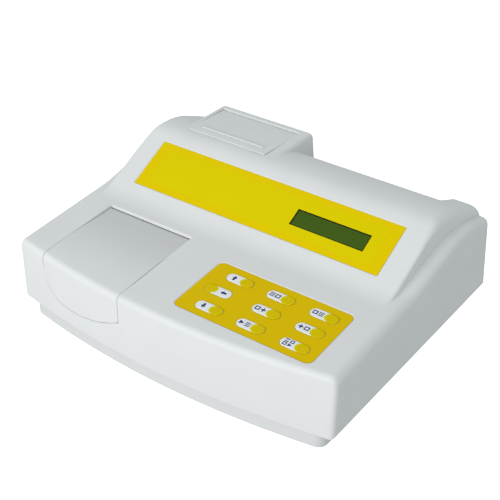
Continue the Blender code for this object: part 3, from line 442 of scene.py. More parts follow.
def add_bump(mat, shader, height, strength, distance):
    bump = node(mat, "ShaderNodeBump", Strength=strength, Distance=distance)
    link(mat, height, bump.inputs["Height"])
    link(mat, bump.outputs["Normal"], shader.inputs["Normal"])


def object_axes(mat):
    """The shaded point's own X, Y and Z, as the outputs of a node."""
    split = node(mat, "ShaderNodeSeparateXYZ")
    link(mat, object_point(mat), split.inputs["Vector"])
    return split.outputs


def calculate(mat, operation, *values):
    """The result of a Math node; each value is a number or a socket."""
    made = node(mat, "ShaderNodeMath", operation=operation)
    for socket, value in zip(made.inputs, values):
        if isinstance(value, float):
            socket.default_value = value
        else:
            link(mat, value, socket)
    return made.outputs[0]


def current_color(mat):
    """What the material's colour is linked from."""
    return principled(mat).inputs["Base Color"].links[0].from_socket


def set_color(mat, socket):
    link(mat, socket, principled(mat).inputs["Base Color"])


def add_clouds(mat, cloud, color, vary):
    """Lets the colour drift lighter and darker with a noise."""
    set_color(mat, blend_colors(mat, cloud, shade(color, 1 - vary), shade(color, 1 + vary)))


def moulded(name, color, roughness, grain=2500, depth=0.00003):
    """Moulded plastic: a fine spark-eroded grain, and slight clouding of colour and gloss."""
    mat, shader = new_material(name, color, roughness)
    shader.inputs["Specular IOR Level"].default_value = 0.30
    add_clouds(mat, noise(mat, 28, 3), color, 0.03)
    fine = noise(mat, grain, 2)
    link(mat, ramp(mat, fine, 0.3, 0.7, roughness - 0.04, roughness + 0.05),
         shader.inputs["Roughness"])
    add_bump(mat, shader, fine, 0.25, depth)
    return mat


def brushed(name, color, roughness):
    """Metal with fine parallel brush lines."""
    mat, shader = new_material(name, color, roughness, 1.0)
    lines = noise(mat, 90, 4, (1, 60, 60))
    link(mat, ramp(mat, lines, 0.3, 0.7, roughness - 0.08, roughness + 0.10),
         shader.inputs["Roughness"])
    set_color(mat, blend_colors(mat, lines, shade(color, 0.88), color))
    add_bump(mat, shader, lines, 0.15, 0.00002)
    return mat


def lid_plastic_with_painted_shade():
    """The casing's plastic with painted shade: a shade darker towards the lid's hinge."""
    mat = moulded("lid_abs", CASING_WHITE, CASING_GLOSS)
    # painted shade: the colour darkens from the lid's front to its hinge, standing in for the shade there
    painted_shade_mask = ramp(mat, object_axes(mat)["Y"], FRONT, LID_AXIS[0], 0, 1)
    painted_shade_color = shade(CASING_WHITE, LID_PAINTED_SHADE)
    set_color(mat, blend_colors(mat, painted_shade_mask, current_color(mat), painted_shade_color))
    return mat


def circuit_board():
    """Green solder mask over a faint grid of copper tracks."""
    mat, shader = new_material("circuit_board", (0.02, 0.16, 0.06), 0.35)
    tracks = node(mat, "ShaderNodeTexBrick", Scale=160.0)
    tracks.inputs["Mortar Size"].default_value = 0.06
    tracks.inputs["Color1"].default_value = (0.02, 0.15, 0.06, 1)
    tracks.inputs["Color2"].default_value = (0.02, 0.18, 0.07, 1)
    tracks.inputs["Mortar"].default_value = (0.06, 0.30, 0.12, 1)
    link(mat, object_point(mat), tracks.inputs["Vector"])
    set_color(mat, tracks.outputs["Color"])
    add_bump(mat, shader, tracks.outputs["Fac"], 0.2, 0.00004)
    return mat


def thermal_paper():
    mat, shader = new_material("thermal_paper", (0.86, 0.86, 0.84), 0.6)
    fibres = noise(mat, 1400, 4)
    set_color(mat, blend_colors(mat, fibres, (0.80, 0.80, 0.78), (0.90, 0.90, 0.88)))
    add_bump(mat, shader, fibres, 0.2, 0.00003)
    return mat


def clear_glass():
    mat, shader = new_material("clear_glass", (0.90, 0.93, 0.95), 0.04)
    shader.inputs["Transmission Weight"].default_value = 0.9
    smudge = noise(mat, 120, 2)
    link(mat, ramp(mat, smudge, 0.3, 0.8, 0.02, 0.10), shader.inputs["Roughness"])
    return mat


def film(name, color, roughness=0.36):
    """Printed polyester film with a fine satin texture."""
    mat, shader = new_material(name, color, roughness)
    shader.inputs["Specular IOR Level"].default_value = 0.03
    add_clouds(mat, noise(mat, 22, 2), color, 0.02)
    add_bump(mat, shader, noise(mat, 4200, 2), 0.12, 0.00001)
    return mat


def distance_outside_box(mat, centre, half):
    """How far a point of the object lies outside a rectangle, in its own x and y."""
    axes = object_axes(mat)
    sides = []
    for axis, middle, reach in zip("XY", centre, half):
        distance = calculate(mat, "ABSOLUTE", calculate(mat, "SUBTRACT", axes[axis], middle))
        sides.append(calculate(mat, "SUBTRACT", distance, reach))
    return calculate(mat, "MAXIMUM", *sides)


def panel_film():
    """Yellow panel with a slightly more orange printed border."""
    mat = film("panel_film", YELLOW)
    half = (PANEL_SIZE[0] / 2 - FIELD_MARGIN[0], PANEL_SIZE[1] / 2 - FIELD_MARGIN[1])
    outside = distance_outside_box(mat, (0.0, PANEL_SIZE[1] / 2), half)
    border = ramp(mat, outside, 0, 0.0003, 0, 1)
    set_color(mat, blend_colors(mat, border, current_color(mat), ORANGE_YELLOW))
    return mat


def key_film(name, mirror):
    """White at one end, yellow at the other, and a bright arc where they meet."""
    mat = film(name, KEY_WHITE)
    white = current_color(mat)
    away = node(mat, "ShaderNodeVectorMath", operation="DISTANCE")
    link(mat, object_point(mat, (1, 1, 0)), away.inputs[0])
    away.inputs[1].default_value = (mirror * KEY_ARC_CENTRE, 0, 0)
    radius, x = away.outputs["Value"], object_axes(mat)["X"]

    def along(distance):
        return mirror * (KEY_ARC_CENTRE + distance)

    outside = ramp(mat, radius, KEY_ARC - KEY_BLUR, KEY_ARC + KEY_BLUR, 0, 1)
    before = ramp(mat, x, along(-KEY_BLUR), along(KEY_BLUR), 1, 0)
    inward = ramp(mat, radius, KEY_ARC - KEY_BAND, KEY_ARC, 0, 1)
    near_white = ramp(mat, x, along(KEY_BAND_FADE[0]), along(KEY_BAND_FADE[1]), 0, 1)
    bright = calculate(mat, "MULTIPLY", inward, near_white)
    yellow = blend_colors(mat, bright, KEY_YELLOW, KEY_YELLOW_EDGE)
    whiteness = calculate(mat, "MULTIPLY", outside, before)
    set_color(mat, blend_colors(mat, whiteness, yellow, white))
    return mat


def lcd_surface():
    """Dark green display behind glass, with a black edge and two rows of faint cells."""
    mat, shader = new_material("lcd_surface", (0.06, 0.10, 0.012), 0.16)
    x0, x1, v0, v1 = WINDOW
    centre = ((x0 + x1) / 2, (v0 + v1) / 2)
    half = ((x1 - x0) / 2 - LCD_BORDER, (v1 - v0) / 2 - LCD_BORDER)
    outside = distance_outside_box(mat, centre, half)
    border = ramp(mat, outside, 0, 0.0002, 0, 1)
    cells = node(mat, "ShaderNodeTexBrick", Scale=1.0)
    cells.offset = 0.0
    for key, value in zip(("Brick Width", "Row Height", "Mortar Size"), LCD_CELL):
        cells.inputs[key].default_value = value
    cells.inputs["Color1"].default_value = (0.049, 0.099, 0.0070, 1)
    cells.inputs["Color2"].default_value = (0.046, 0.095, 0.0065, 1)
    cells.inputs["Mortar"].default_value = (0.057, 0.110, 0.0085, 1)
    link(mat, object_point(mat), cells.inputs["Vector"])
    set_color(mat, blend_colors(mat, border, cells.outputs["Color"], (0.006, 0.009, 0.005)))
    shader.inputs["Specular IOR Level"].default_value = 0.08
    return mat


# the lid's material carries painted shade, darker towards its hinge
LID_PAINTED_SHADE_ABS = lid_plastic_with_painted_shade()
# the tray's material is the casing's white with painted shade
TRAY_PAINTED_SHADE_ABS = moulded("tray_abs", shade(CASING_WHITE, TRAY_PAINTED_SHADE), CASING_GLOSS)
WHITE_ABS = moulded("white_abs", CASING_WHITE, CASING_GLOSS)
BLACK_ABS = moulded("black_abs", (0.018, 0.018, 0.019), 0.45)
GREY_ABS = moulded("grey_abs", (0.22, 0.23, 0.24), 0.45)
RUBBER = moulded("black_rubber", (0.022, 0.022, 0.022), 0.75, 900, 0.00006)
STEEL = brushed("plated_steel", (0.62, 0.62, 0.64), 0.28)
ALUMINIUM = brushed("satin_aluminium", (0.60, 0.61, 0.63), 0.38)
BOARD = circuit_board()
PAPER = thermal_paper()
GLASS = clear_glass()
PANEL_FILM = panel_film()
KEYPAD_FILM = film("keypad_film", KEYPAD_YELLOW)
KEY_FILM = key_film("key_film", 1)
LEFT_KEY_FILM = key_film("key_film_mirrored", -1)
MARK_INK = film("mark_ink", MARK_BLUE, 0.45)
LCD = lcd_surface()

SLOT_MATERIAL = {
    "casing_white": WHITE_ABS, "black_plastic": BLACK_ABS, "grey_plastic": GREY_ABS,
    "rubber": RUBBER, "steel": STEEL, "plate_metal": ALUMINIUM, "overlay_yellow": KEYPAD_FILM,
    "key_film": KEY_FILM, "lcd_green": LCD, "clear_glass": GLASS, "circuit_board": BOARD,
    "paper": PAPER,
}
NODE_SLOT = {part["node"]: part["material_slot"] for part in frame["record"]["subparts"]}
NODE_BODY = {
    name: body
    for body, names in frame["record"]["behaviour"]["bodies"].items()
    for name in names
}


# ---- casing surface -----------------------------------------------------------------------

def deck(y):
    """Height of the sloping deck."""
    return DECK_HEIGHT + DECK_SLOPE * (y - FRONT)


def hump_path(steps):
    """Side view of the deck, the display panel's slope, the crest and the rear slope."""
    foot_y, foot_z = PANEL_FOOT
    base = foot_z - PANEL_SLOPE * foot_y
    meet = (base - deck(0)) / (DECK_SLOPE - PANEL_SLOPE)
    crest_front = (CREST - base) / PANEL_SLOPE
    back = REAR + 0.02
    corners = [(AHEAD, deck(AHEAD)), (meet, deck(meet)), (crest_front, CREST),
               (CREST_BACK, CREST), (back, CREST + REAR_SLOPE * (back - CREST_BACK))]
    return rounded_path(corners, [0.055, 0.037, 0.100], steps)


def cheek_path(steps):
    """Side view of the lower surface beyond the hump's two ends."""
    start, low_crest = -0.0115, 0.1165
    corners = [(AHEAD, deck(AHEAD)), (start, deck(start)), (0.0680, low_crest),
               (0.1040, low_crest), (0.1735, 0.0968)]
    return rounded_path(corners, [0.120, 0.080, 0.050], steps)


HUMP_PATH = hump_path(40)
CHEEK_PATH = cheek_path(40)


def front_y(x):
    bow = FRONT - BOW * (1 - (x / HALF_WIDTH) ** 2)
    return bow + arc_drop(abs(x) - HALF_WIDTH + CORNER, CORNER)


def rear_y(z):
    return REAR - REAR_LEAN * (z - TRAY_TOP)


def step_between(value, limits):
    low, high = limits
    return smooth_step((value - low) / (high - low))


def hump_edge(y):
    foot, crest = HUMP_EDGE
    return foot + (crest - foot) * step_between(y, HUMP_EDGE_GROWS)


def flared(x, y, inset):
    """X of a point once the ends of the hump are drawn outward towards the rear."""
    ridge = HUMP_SIDE - inset
    inside = (abs(x) - FLARE_INNER) / (ridge - FLARE_INNER)
    outside = (HALF_WIDTH - inset - abs(x)) / (HALF_WIDTH - HUMP_SIDE)
    share = min(max(min(inside, outside), 0), 1)
    return x + math.copysign(HUMP_FLARE * share * step_between(y, FLARE_GROWS), x)


def top_height(x, y, inset=0):
    """Height of the casing's top, or of its inner side where an inset is given."""
    heights = [height_on(CHEEK_PATH, y)]
    if abs(x) <= HUMP_SIDE - inset:
        edge = hump_edge(y)
        drop = arc_drop(abs(x) - HUMP_SIDE + edge, edge - inset)
        heights.append(height_on(HUMP_PATH, y) - drop)
    if PRINTER[0] + inset <= x <= PRINTER[1] - inset and y > PRINTER_FRONT:
        side = min(x - PRINTER[0], PRINTER[1] - x)
        heights.append(CREST - arc_drop(PRINTER_EDGE - side, PRINTER_EDGE - inset))
    return max(heights) - arc_drop(abs(x) - HALF_WIDTH + SHOULDER, SHOULDER - inset) - inset


def casing_loop(x, inset, bottom, rows, ahead, arc_steps):
    """One upright slice of the casing at x, as a closed loop of points."""
    front = front_y(x) + inset
    points = [(front + LOWER_EDGE * (1 - sin), bottom + LOWER_EDGE * (1 - cos))
              for sin, cos in quarter(LOWER_EDGE_STEPS)]
    edge = FRONT_EDGE - inset
    for sin, cos in quarter(arc_steps):
        y = front + edge * (1 - cos)
        points.append((y, top_height(x, y, inset) - edge * (1 - sin)))
    points += [(y, top_height(x, y, inset)) for y in spread(front + edge, rows[0], ahead)[1:-1]]
    points += [(y, top_height(x, y, inset)) for y in rows]
    edge = REAR_EDGE - inset
    side = arc_drop(abs(x) - HALF_WIDTH + REAR_CORNER, REAR_CORNER)
    rear = rear_y(top_height(x, REAR_EDGE_ROW, inset)) - inset - side
    for sin, cos in quarter(arc_steps):
        y = rear - edge * (1 - sin)
        points.append((y, top_height(x, y, inset) - edge * (1 - cos)))
    points.append((rear_y(bottom) - inset - side, bottom))
    return [(flared(x, y, inset), y, z) for y, z in points]


def arc_stations(start, radius, steps):
    """X positions across a quarter-round edge that ends at start + radius."""
    return [start + radius * sin for sin, _ in quarter(steps)]


def outer_stations():
    """X of every slice of the outer surface, dense where its edges are."""
    half = spread(0, 0.150, 30)
    half += arc_stations(HUMP_SIDE - HUMP_EDGE[1], HUMP_EDGE[1], 8)
    half += arc_stations(HUMP_SIDE - HUMP_EDGE[0], HUMP_EDGE[0], 7) + [HUMP_SIDE + WALL_STEP]
    half += arc_stations(HALF_WIDTH - SHOULDER, SHOULDER, 12)
    printer = []
    for side, inward in zip(PRINTER, (1, -1)):
        printer.append(side - inward * WALL_STEP)
        printer += [side + inward * (PRINTER_EDGE - r)
                    for r in arc_stations(0, PRINTER_EDGE, 6)]
    return sorted({round(x, 6) for x in half + [-x for x in half] + printer})


def outer_surface():
    rows = spread(-0.045, 0.128, 100)
    loops = []
    for x in outer_stations():
        bottom = TRAY_TOP + arc_drop(abs(x) - HALF_WIDTH + CORNER, CORNER)
        loops.append(casing_loop(x, 0, bottom, rows, 10, 10))
    return bridged(loops)


def inner_space():
    """The hollow of the casing, one wall inside its surface."""
    rows = spread(-0.100, 0.127, 30)
    step = 0.00015
    half = spread(0, 0.150, 6) + [0.157, 0.161, HUMP_SIDE - WALL, HUMP_SIDE - WALL + step]
    half += [HALF_WIDTH - SHOULDER + 0.003, HALF_WIDTH - WALL]
    printer = []
    for edge, inward in zip(PRINTER, (1, -1)):
        printer += [edge + inward * (WALL - step), edge + inward * WALL]
    stations = sorted({round(x, 6) for x in half + [-x for x in half] + printer})
    return bridged([casing_loop(x, WALL, TRAY_TOP + WALL, rows, 3, 3) for x in stations])


def lid_edge(x):
    """Height of the lower edge of the lid's folded front."""
    if x > LID_LOW_X:
        return LID_LOW + LID_RIGHT_RISE * ((x - LID_LOW_X) / (LID[1] - LID_LOW_X)) ** 2
    across = min(max((LID_LOW_X - x) / (LID_LOW_X - LID[0]), 0), 1)
    bend = (1 - across ** LID_ROUNDNESS) ** (1 / LID_ROUNDNESS)
    return LID_SIDE_TOP - (LID_SIDE_TOP - LID_LOW) * bend


def lid_stations():
    reach = LID_LOW_X - LID[0]
    steep = [LID[0] + reach * (1 - math.cos(math.pi / 2 * i / 22)) for i in range(23)]
    return steep + spread(LID_LOW_X, LID[1], 14)[1:]


def chamfer_bar(start, end, size):
    """A square bar on edge: cut along a straight edge, it leaves a bevel of this size."""
    start, end = Vector(start), Vector(end)
    along = (end - start).normalized()
    up = Vector((0, 0, 1)) if abs(along.z) < 0.7 else Vector((0, 1, 0))
    side = along.cross(up).normalized()
    up = side.cross(along)
    loops = []
    for point in (start, end):
        loops.append([point + side * size * a + up * size * b
                      for a, b in ((1, 0), (0, 1), (-1, 0), (0, -1))])
    return bridged(loops)


LID_ENDS = (LID[0] - LID_GAP, LID[1] + LID_GAP)
LID_BACK = LID_AXIS[0] + LID_BARREL + LID_GAP
DOOR_ENDS = (DOOR[0] - LID_GAP, DOOR[1] + LID_GAP)
DOOR_SIDES = (DOOR_FRONT - LID_GAP, DOOR_AXIS[0] + DOOR_BARREL + LID_GAP)


def cut_openings(shell):
    """The openings that the lid and the printer door close."""
    left, right = LID_ENDS
    outline = [(left, HIGH), (right, HIGH), (right, lid_edge(LID[1]) - LID_GAP)]
    outline += [(x, lid_edge(x) - LID_GAP) for x in reversed(lid_stations()[1:-1])]
    outline.append((left, lid_edge(LID[0]) - LID_GAP))
    boolean(shell, bridged([[(x, y, z) for x, z in outline] for y in (-HIGH, LID_BACK)]))
    (left, right), (near, far) = DOOR_ENDS, DOOR_SIDES
    boolean(shell, block((left, near, 0.120), (right, far, HIGH)))


def cut_edges(shell):
    """Small bevels where the lid and the door meet the casing."""
    left, right = LID_ENDS
    front = FRONT + 0.004
    side_bevel, rear_bevel = LID_BEVEL
    for x in LID_ENDS:
        start, end = (x, front, deck(front)), (x, LID_BACK, deck(LID_BACK))
        boolean(shell, chamfer_bar(start, end, side_bevel))
    height = deck(LID_BACK)
    start, end = (left, LID_BACK, height), (right, LID_BACK, height)
    boolean(shell, chamfer_bar(start, end, rear_bevel))
    (left, right), (near, far) = DOOR_ENDS, DOOR_SIDES
    corners = [(left, near), (right, near), (right, far), (left, far)]
    for (x0, y0), (x1, y1) in zip(corners, corners[1:] + corners[:1]):
        boolean(shell, chamfer_bar((x0, y0, CREST), (x1, y1, CREST), DOOR_BEVEL))


def add_hinge_bosses(shell):
    """The solid lugs in the casing that hold the ends of the two hinge pins."""
    hinges = ((LID, LID_AXIS, 0.0055, (0.0050, 0.0035), (0.0030, 0.0028)),
              (DOOR, DOOR_AXIS, 0.0035, (0.0040, 0.0025), (0.0030, 0.0020)))
    for sides, (y, z), reach, (ahead, behind), (below, above) in hinges:
        for side, outward in zip(sides, (-1, 1)):
            near = side + outward * (LID_GAP + 0.0002)
            low, high = sorted((near, near + outward * reach))
            bar = block((low, y - ahead, z - below), (high, y + behind, z + above))
            boolean(shell, bar, "UNION")


def recess(centre, size, corner):
    """The cutter for a film's recess: straight walls, then a bevel that opens at the surface."""
    above = 0.012
    levels = [(GAP / 2, -OVERLAY_RECESS), (GAP / 2, -OVERLAY_RIM), (above, above - OVERLAY_RIM)]
    loops = []
    for grow, height in levels:
        grown = (size[0] + 2 * grow, size[1] + 2 * grow)
        loops.append(at_height(rounded_box(centre, grown, corner + grow, 8), height))
    return bridged(loops)


def casing_shell():
    shell = to_object("casing_shell", outer_surface(), WHITE_ABS)
    void = to_object("void", inner_space(), None)
    low = (RECESS[0] - WALL, RECESS_FACE - WALL, RECESS_FLOOR - WALL)
    boolean(void, block(low, (RECESS[1] + WALL, HIGH, HIGH)))
    hollow = bmesh.new()
    hollow.from_mesh(void.data)
    bpy.data.objects.remove(void)
    boolean(shell, hollow)
    low = (-UNDERSIDE, FRONT + 2 * WALL, 0)
    boolean(shell, block(low, (UNDERSIDE, REAR - 4 * WALL, TRAY_TOP + WALL + 0.001)))
    boolean(shell, block((RECESS[0], RECESS_FACE, RECESS_FLOOR), (RECESS[1], HIGH, HIGH)))
    x0, x1, z0, z1 = CONNECTOR_WINDOW
    boolean(shell, block((x0, RECESS_FACE - 0.01, z0), (x1, RECESS_FACE + 0.005, z1)))
    cut_openings(shell)
    cut_edges(shell)
    add_hinge_bosses(shell)
    boolean(shell, recess((0, PANEL_SIZE[1] / 2), PANEL_SIZE, 0.0012), place=PANEL_FRAME)
    x0, x1, v0, v1 = WINDOW
    window = block((x0 - 0.001, v0 - 0.001, -0.01), (x1 + 0.001, v1 + 0.001, 0.01))
    boolean(shell, window, place=PANEL_FRAME)
    centre, size = keypad_place()
    boolean(shell, recess(centre, size, KEYPAD_CORNER), place=DECK_FRAME)
    sharpen(shell, 30)
    shell.data.materials.clear()
    shell.data.materials.append(WHITE_ABS)
    piece(shell, "casing", "casing_white", "upper_casing")


# ---- lower casing and feet ----------------------------------------------------------------

def tray_outline(inset):
    """The tray seen from above: a bowed front, straight sides and four round corners."""
    side = TRAY_SIDE - inset
    rear = REAR - TRAY_INSET - inset
    radius = TRAY_CORNER - inset
    straight = side - radius
    outline = []
    for x in spread(-straight, straight, 40):
        y = FRONT - BOW * (1 - (x / HALF_WIDTH) ** 2) + TRAY_INSET + inset
        outline.append((x, y))
    start = outline[-1][1]
    corner = [(straight + radius * sin, radius * (1 - cos)) for sin, cos in quarter(10)]
    front = [(x, start + y) for x, y in corner[1:]]
    back = [(x, rear - y) for x, y in reversed(corner)]
    outline += front + back
    return outline + [(-x, y) for x, y in reversed(front + back)]


def tray_shell():
    top = TRAY_TOP - GAP
    levels = [(TRAY_EDGE * (1 - sin), FOOT_HEIGHT + TRAY_EDGE * (1 - cos))
              for sin, cos in quarter(5)]
    levels += [(0, top - TRAY_RIM), (TRAY_RIM, top), (TRAY_WALL - TRAY_RIM, top),
               (TRAY_WALL, top - TRAY_RIM), (TRAY_WALL, FOOT_HEIGHT + TRAY_WALL)]
    tray = bridged([at_height(tray_outline(inset), z) for inset, z in levels])
    shell = to_object("tray_shell", tray, TRAY_PAINTED_SHADE_ABS)
    radius, depth = SCREW_HOLE
    profile = [(radius, FOOT_HEIGHT - 0.001), (radius, FOOT_HEIGHT + depth)]
    for number in range(1, 5):
        boolean(shell, turned(profile, node_centre(f"case_screw_{number}"), 40))
    sharpen(shell, 32)
    piece(shell, "casing", "casing_white", "lower_casing")


def foot_pad(name):
    """A round foot, hollow in the middle of its sole."""
    sole = [(0.0050, 0.0006), (0.0054, 0.0), (0.0079, 0.0), (0.0084, 0.00015)]
    profile = sole + [(0.0087, 0.0006), (0.0093, 0.0031), (0.0091, span(name, "z")[1])]
    foot = to_object(f"{name}_pad", turned(profile, node_centre(name), 56), RUBBER, sharp=50)
    piece(foot, "casing", "rubber", name)


# ---- sample lid ---------------------------------------------------------------------------

def barrel(axis, radius, steps):
    """The rear half of a hinge barrel seen from the side, from its top to its bottom."""
    angles = [math.pi / 2 - math.pi * i / steps for i in range(steps + 1)]
    return [(axis[0] + radius * math.cos(a), axis[1] + radius * math.sin(a)) for a in angles]


def lid_loop(x):
    """One upright slice of the lid: front fold, top, hinge barrel and underside."""
    axis_y = LID_AXIS[0]
    front = front_y(x)

    def top(y):
        return deck(y) - LID_DIP * step_between(y, (LID_DIP_START, axis_y))

    corner_z = deck(front) - FRONT_EDGE
    points = [(front, lid_edge(x))]
    for sin, cos in quarter(9):
        y = front + FRONT_EDGE * (1 - cos)
        points.append((y, deck(y) - FRONT_EDGE * (1 - sin)))
    points += [(y, top(y)) for y in spread(front + FRONT_EDGE, axis_y, 24)[1:-1]]
    points += barrel(LID_AXIS, LID_BARREL, 12)
    points += [(y, top(y) - LID_THICK) for y in spread(*LID_UNDERSIDE, 12)]
    inner = FRONT_EDGE - LID_THICK
    points += [(front + LID_THICK + inner * (1 - cos), corner_z + inner * sin)
               for sin, cos in reversed(quarter(5))]
    points.append((front + LID_THICK, lid_edge(x)))
    return [(x, y, z) for y, z in points]


def lid_shell():
    shell = to_object("lid_shell", bridged([lid_loop(x) for x in lid_stations()]), LID_PAINTED_SHADE_ABS)
    soften(shell, 0.00035, 50)
    piece(shell, "lid", "casing_white", "sample_lid")


# ---- printer door -------------------------------------------------------------------------

def door_top(y):
    front_z, hinge_z = CREST + DOOR_RISE, DOOR_AXIS[1] + DOOR_BARREL
    return front_z + (hinge_z - front_z) * (y - DOOR_FRONT) / (DOOR_AXIS[0] - DOOR_FRONT)


def door_profile(inset):
    """Side view of the door: rounded front edge, top, hinge barrel and underside."""
    edge = 0.0006
    front = DOOR_FRONT + inset
    top = door_top(DOOR_FRONT) - inset
    points = [(front, top - DOOR_THICK + 2 * inset)]
    points += [(front + edge * (1 - cos), top - edge * (1 - sin)) for sin, cos in quarter(5)]
    points += barrel(DOOR_AXIS, DOOR_BARREL - inset, 16)
    heel = DOOR_AXIS[0] - DOOR_HEEL
    points.append((heel, door_top(heel) - DOOR_THICK + inset))
    return points


def door_shell():
    ends = [(DOOR_BEVEL * (1 - sin), DOOR_BEVEL * (1 - cos)) for sin, cos in quarter(3)]
    stations = [(DOOR[0] + along, inset) for inset, along in ends]
    stations += [(DOOR[1] - along, inset) for inset, along in reversed(ends)]
    loops = [[(x, y, z) for y, z in door_profile(inset)] for x, inset in stations]
    shell = to_object("door_shell", bridged(loops), WHITE_ABS)
    left, right = DOOR[0] + SLOT_ENDS[0], DOOR[1] - SLOT_ENDS[1]
    near, far = (DOOR_FRONT + y for y in PAPER_SLOT)
    boolean(shell, block((left, near, 0.12), (right, far, HIGH)))
    near, far = (DOOR_FRONT + y for y in TEAR_BAR)
    bar_top = CREST + TEAR_BAR_RISE
    boolean(shell, block((left, near, CREST - 0.001), (right, far, bar_top)), "UNION")
    sharpen(shell, 40)
    piece(shell, "door", "casing_white", "printer_door")


# ---- display panel ------------------------------------------------------------------------

def display_film():
    """The printed panel: a fine moulded line runs round inside its border."""
    width, length = PANEL_SIZE
    middle = (0, length / 2)
    x0, x1, v0, v1 = WINDOW

    def loop(inset_x, inset_y, radius, z):
        size = (width - 2 * inset_x, length - 2 * inset_y)
        return at_height(rounded_box(middle, size, radius), z)

    def window(grow, z):
        centre = ((x0 + x1) / 2, (v0 + v1) / 2)
        size = (x1 - x0 + 2 * grow, v1 - v0 + 2 * grow)
        return at_height(rounded_box(centre, size, 0.0003), z)

    bottom = GAP - OVERLAY_RECESS
    top = OVERLAY_TOP
    edge_x, edge_y = FIELD_MARGIN
    line = FIELD_LINE
    loops = [
        loop(0, 0, 0.0010, bottom), loop(0, 0, 0.0010, top - 0.0002),
        loop(0.0002, 0.0002, 0.0009, top),
        loop(edge_x - 2 * line, edge_y - 2 * line, 0.0009, top),
        loop(edge_x - line, edge_y - line, 0.0008, top),
        loop(edge_x, edge_y, 0.0006, top - 0.00020),
        loop(edge_x + line, edge_y + line, 0.0004, top),
        loop(edge_x + 2 * line, edge_y + 2 * line, 0.0003, top),
        window(0.0005, top), window(0.0002, top), window(0, top - 0.0002), window(0, bottom),
    ]
    panel = to_object("display_film", bridged(loops, holed=True), PANEL_FILM, PANEL_FRAME, 25)
    piece(panel, "casing", "overlay_yellow", "display_overlay")


def lcd_pane():
    x0, x1, v0, v1 = WINDOW
    low = (x0 - LCD_LAP, v0 - LCD_LAP, LCD_DEPTH[0])
    pane = block(low, (x1 + LCD_LAP, v1 + LCD_LAP, LCD_DEPTH[1]))
    obj = to_object("lcd_pane", pane, LCD, PANEL_FRAME)
    soften(obj, 0.0002)
    piece(obj, "casing", "lcd_green", "lcd_glass")


# ---- keypad -------------------------------------------------------------------------------

SLANT = math.cos(math.atan(DECK_SLOPE))


def centre_on_deck(name):
    """Middle of a CAD node in the deck's own coordinates."""
    x, y = node_centre(name)
    return x, (y - FRONT) / SLANT


def keypad_place():
    """Centre and size of the keypad film in the deck's own coordinates."""
    low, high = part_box("keypad_overlay")
    tilt = (OVERLAY_TOP + OVERLAY_RECESS - GAP) * DECK_SLOPE
    return centre_on_deck("keypad_overlay"), (high.x - low.x, (high.y - low.y - tilt) / SLANT)


def stadium(centre, grow):
    """The outline of a key, with almost half-round ends."""
    size = (KEY_SIZE[0] + 2 * grow, KEY_SIZE[1] + 2 * grow)
    return rounded_box(centre, size, size[1] / 2 - 0.00005, 12)


KEY_NAMES = sorted(name for name in frame["nodes"] if name.startswith("key_"))


def keypad_film():
    centre, size = keypad_place()
    bottom, top = GAP - OVERLAY_RECESS, OVERLAY_TOP

    def loop(inset, z):
        inner = (size[0] - 2 * inset, size[1] - 2 * inset)
        return at_height(rounded_box(centre, inner, KEYPAD_CORNER - inset, 10), z)

    sheet = bridged([loop(0, bottom), loop(0, top - 0.00015), loop(0.00015, top)])
    film_sheet = to_object("keypad_film", sheet, KEYPAD_FILM, DECK_FRAME)
    for name in KEY_NAMES:
        outline = stadium(centre_on_deck(name), KEY_CLEARANCE)
        hole = bridged([at_height(outline, z) for z in (-0.01, 0.01)])
        boolean(film_sheet, hole, place=DECK_FRAME)
    sharpen(film_sheet, 25)
    piece(film_sheet, "casing", "overlay_yellow", "keypad_overlay")


def key_cap(name):
    """Embossed cap: a soft-edged dome on its stem."""
    profile = [(0, KEY_BOTTOM), (0, KEY_TOP - 0.00030), (0.00020, KEY_TOP - 0.00010),
               (0.00050, KEY_TOP - 0.00002), (0.00090, KEY_TOP), (0.00140, KEY_TOP)]
    loops = [at_height(stadium((0, 0), -inset), z) for inset, z in profile]
    mat = LEFT_KEY_FILM if name == "key_left" else KEY_FILM
    place = DECK_FRAME @ Matrix.Translation((*centre_on_deck(name), 0))
    cap = to_object(f"{name}_cap", bridged(loops), mat, place, 60)
    piece(cap, NODE_BODY[name], "key_film", name)


def bar(x0, y0, x1, y1):
    """A rectangle, as one outline in millimetres like all the marks below."""
    return [(x0, y0), (x1, y0), (x1, y1), (x0, y1)]


def arrow(turn):
    """An arrow that points up the deck, turned by quarter turns."""
    shape = [(-1.1, -3.1), (1.1, -3.1), (1.1, 0), (2.5, 0), (0, 3.1), (-2.5, 0), (-1.1, 0)]
    c, s = math.cos(turn * math.pi / 2), math.sin(turn * math.pi / 2)
    return [[(x * c - y * s, x * s + y * c) for x, y in shape]]


def box_mark(x, y, size, stroke=1.05):
    h = size / 2
    return [bar(x - h, y - h, x + h, y - h + stroke), bar(x - h, y + h - stroke, x + h, y + h),
            bar(x - h, y - h, x - h + stroke, y + h), bar(x + h - stroke, y - h, x + h, y + h)]


def rows_mark(x, y, size, count=3, stroke=1.0):
    h = size / 2
    return [bar(x - h, y - h + (size - stroke) * i / (count - 1),
                x + h, y - h + stroke + (size - stroke) * i / (count - 1)) for i in range(count)]


def plus_mark(x, y, size, stroke=1.3):
    h, t = size / 2, stroke / 2
    return [bar(x - h, y - t, x + h, y + t), bar(x - t, y - h, x + t, y + h)]


def wedge_mark(x, y, size):
    h = size / 2
    return [[(x - h, y - h), (x + h, y), (x - h, y + h)]]


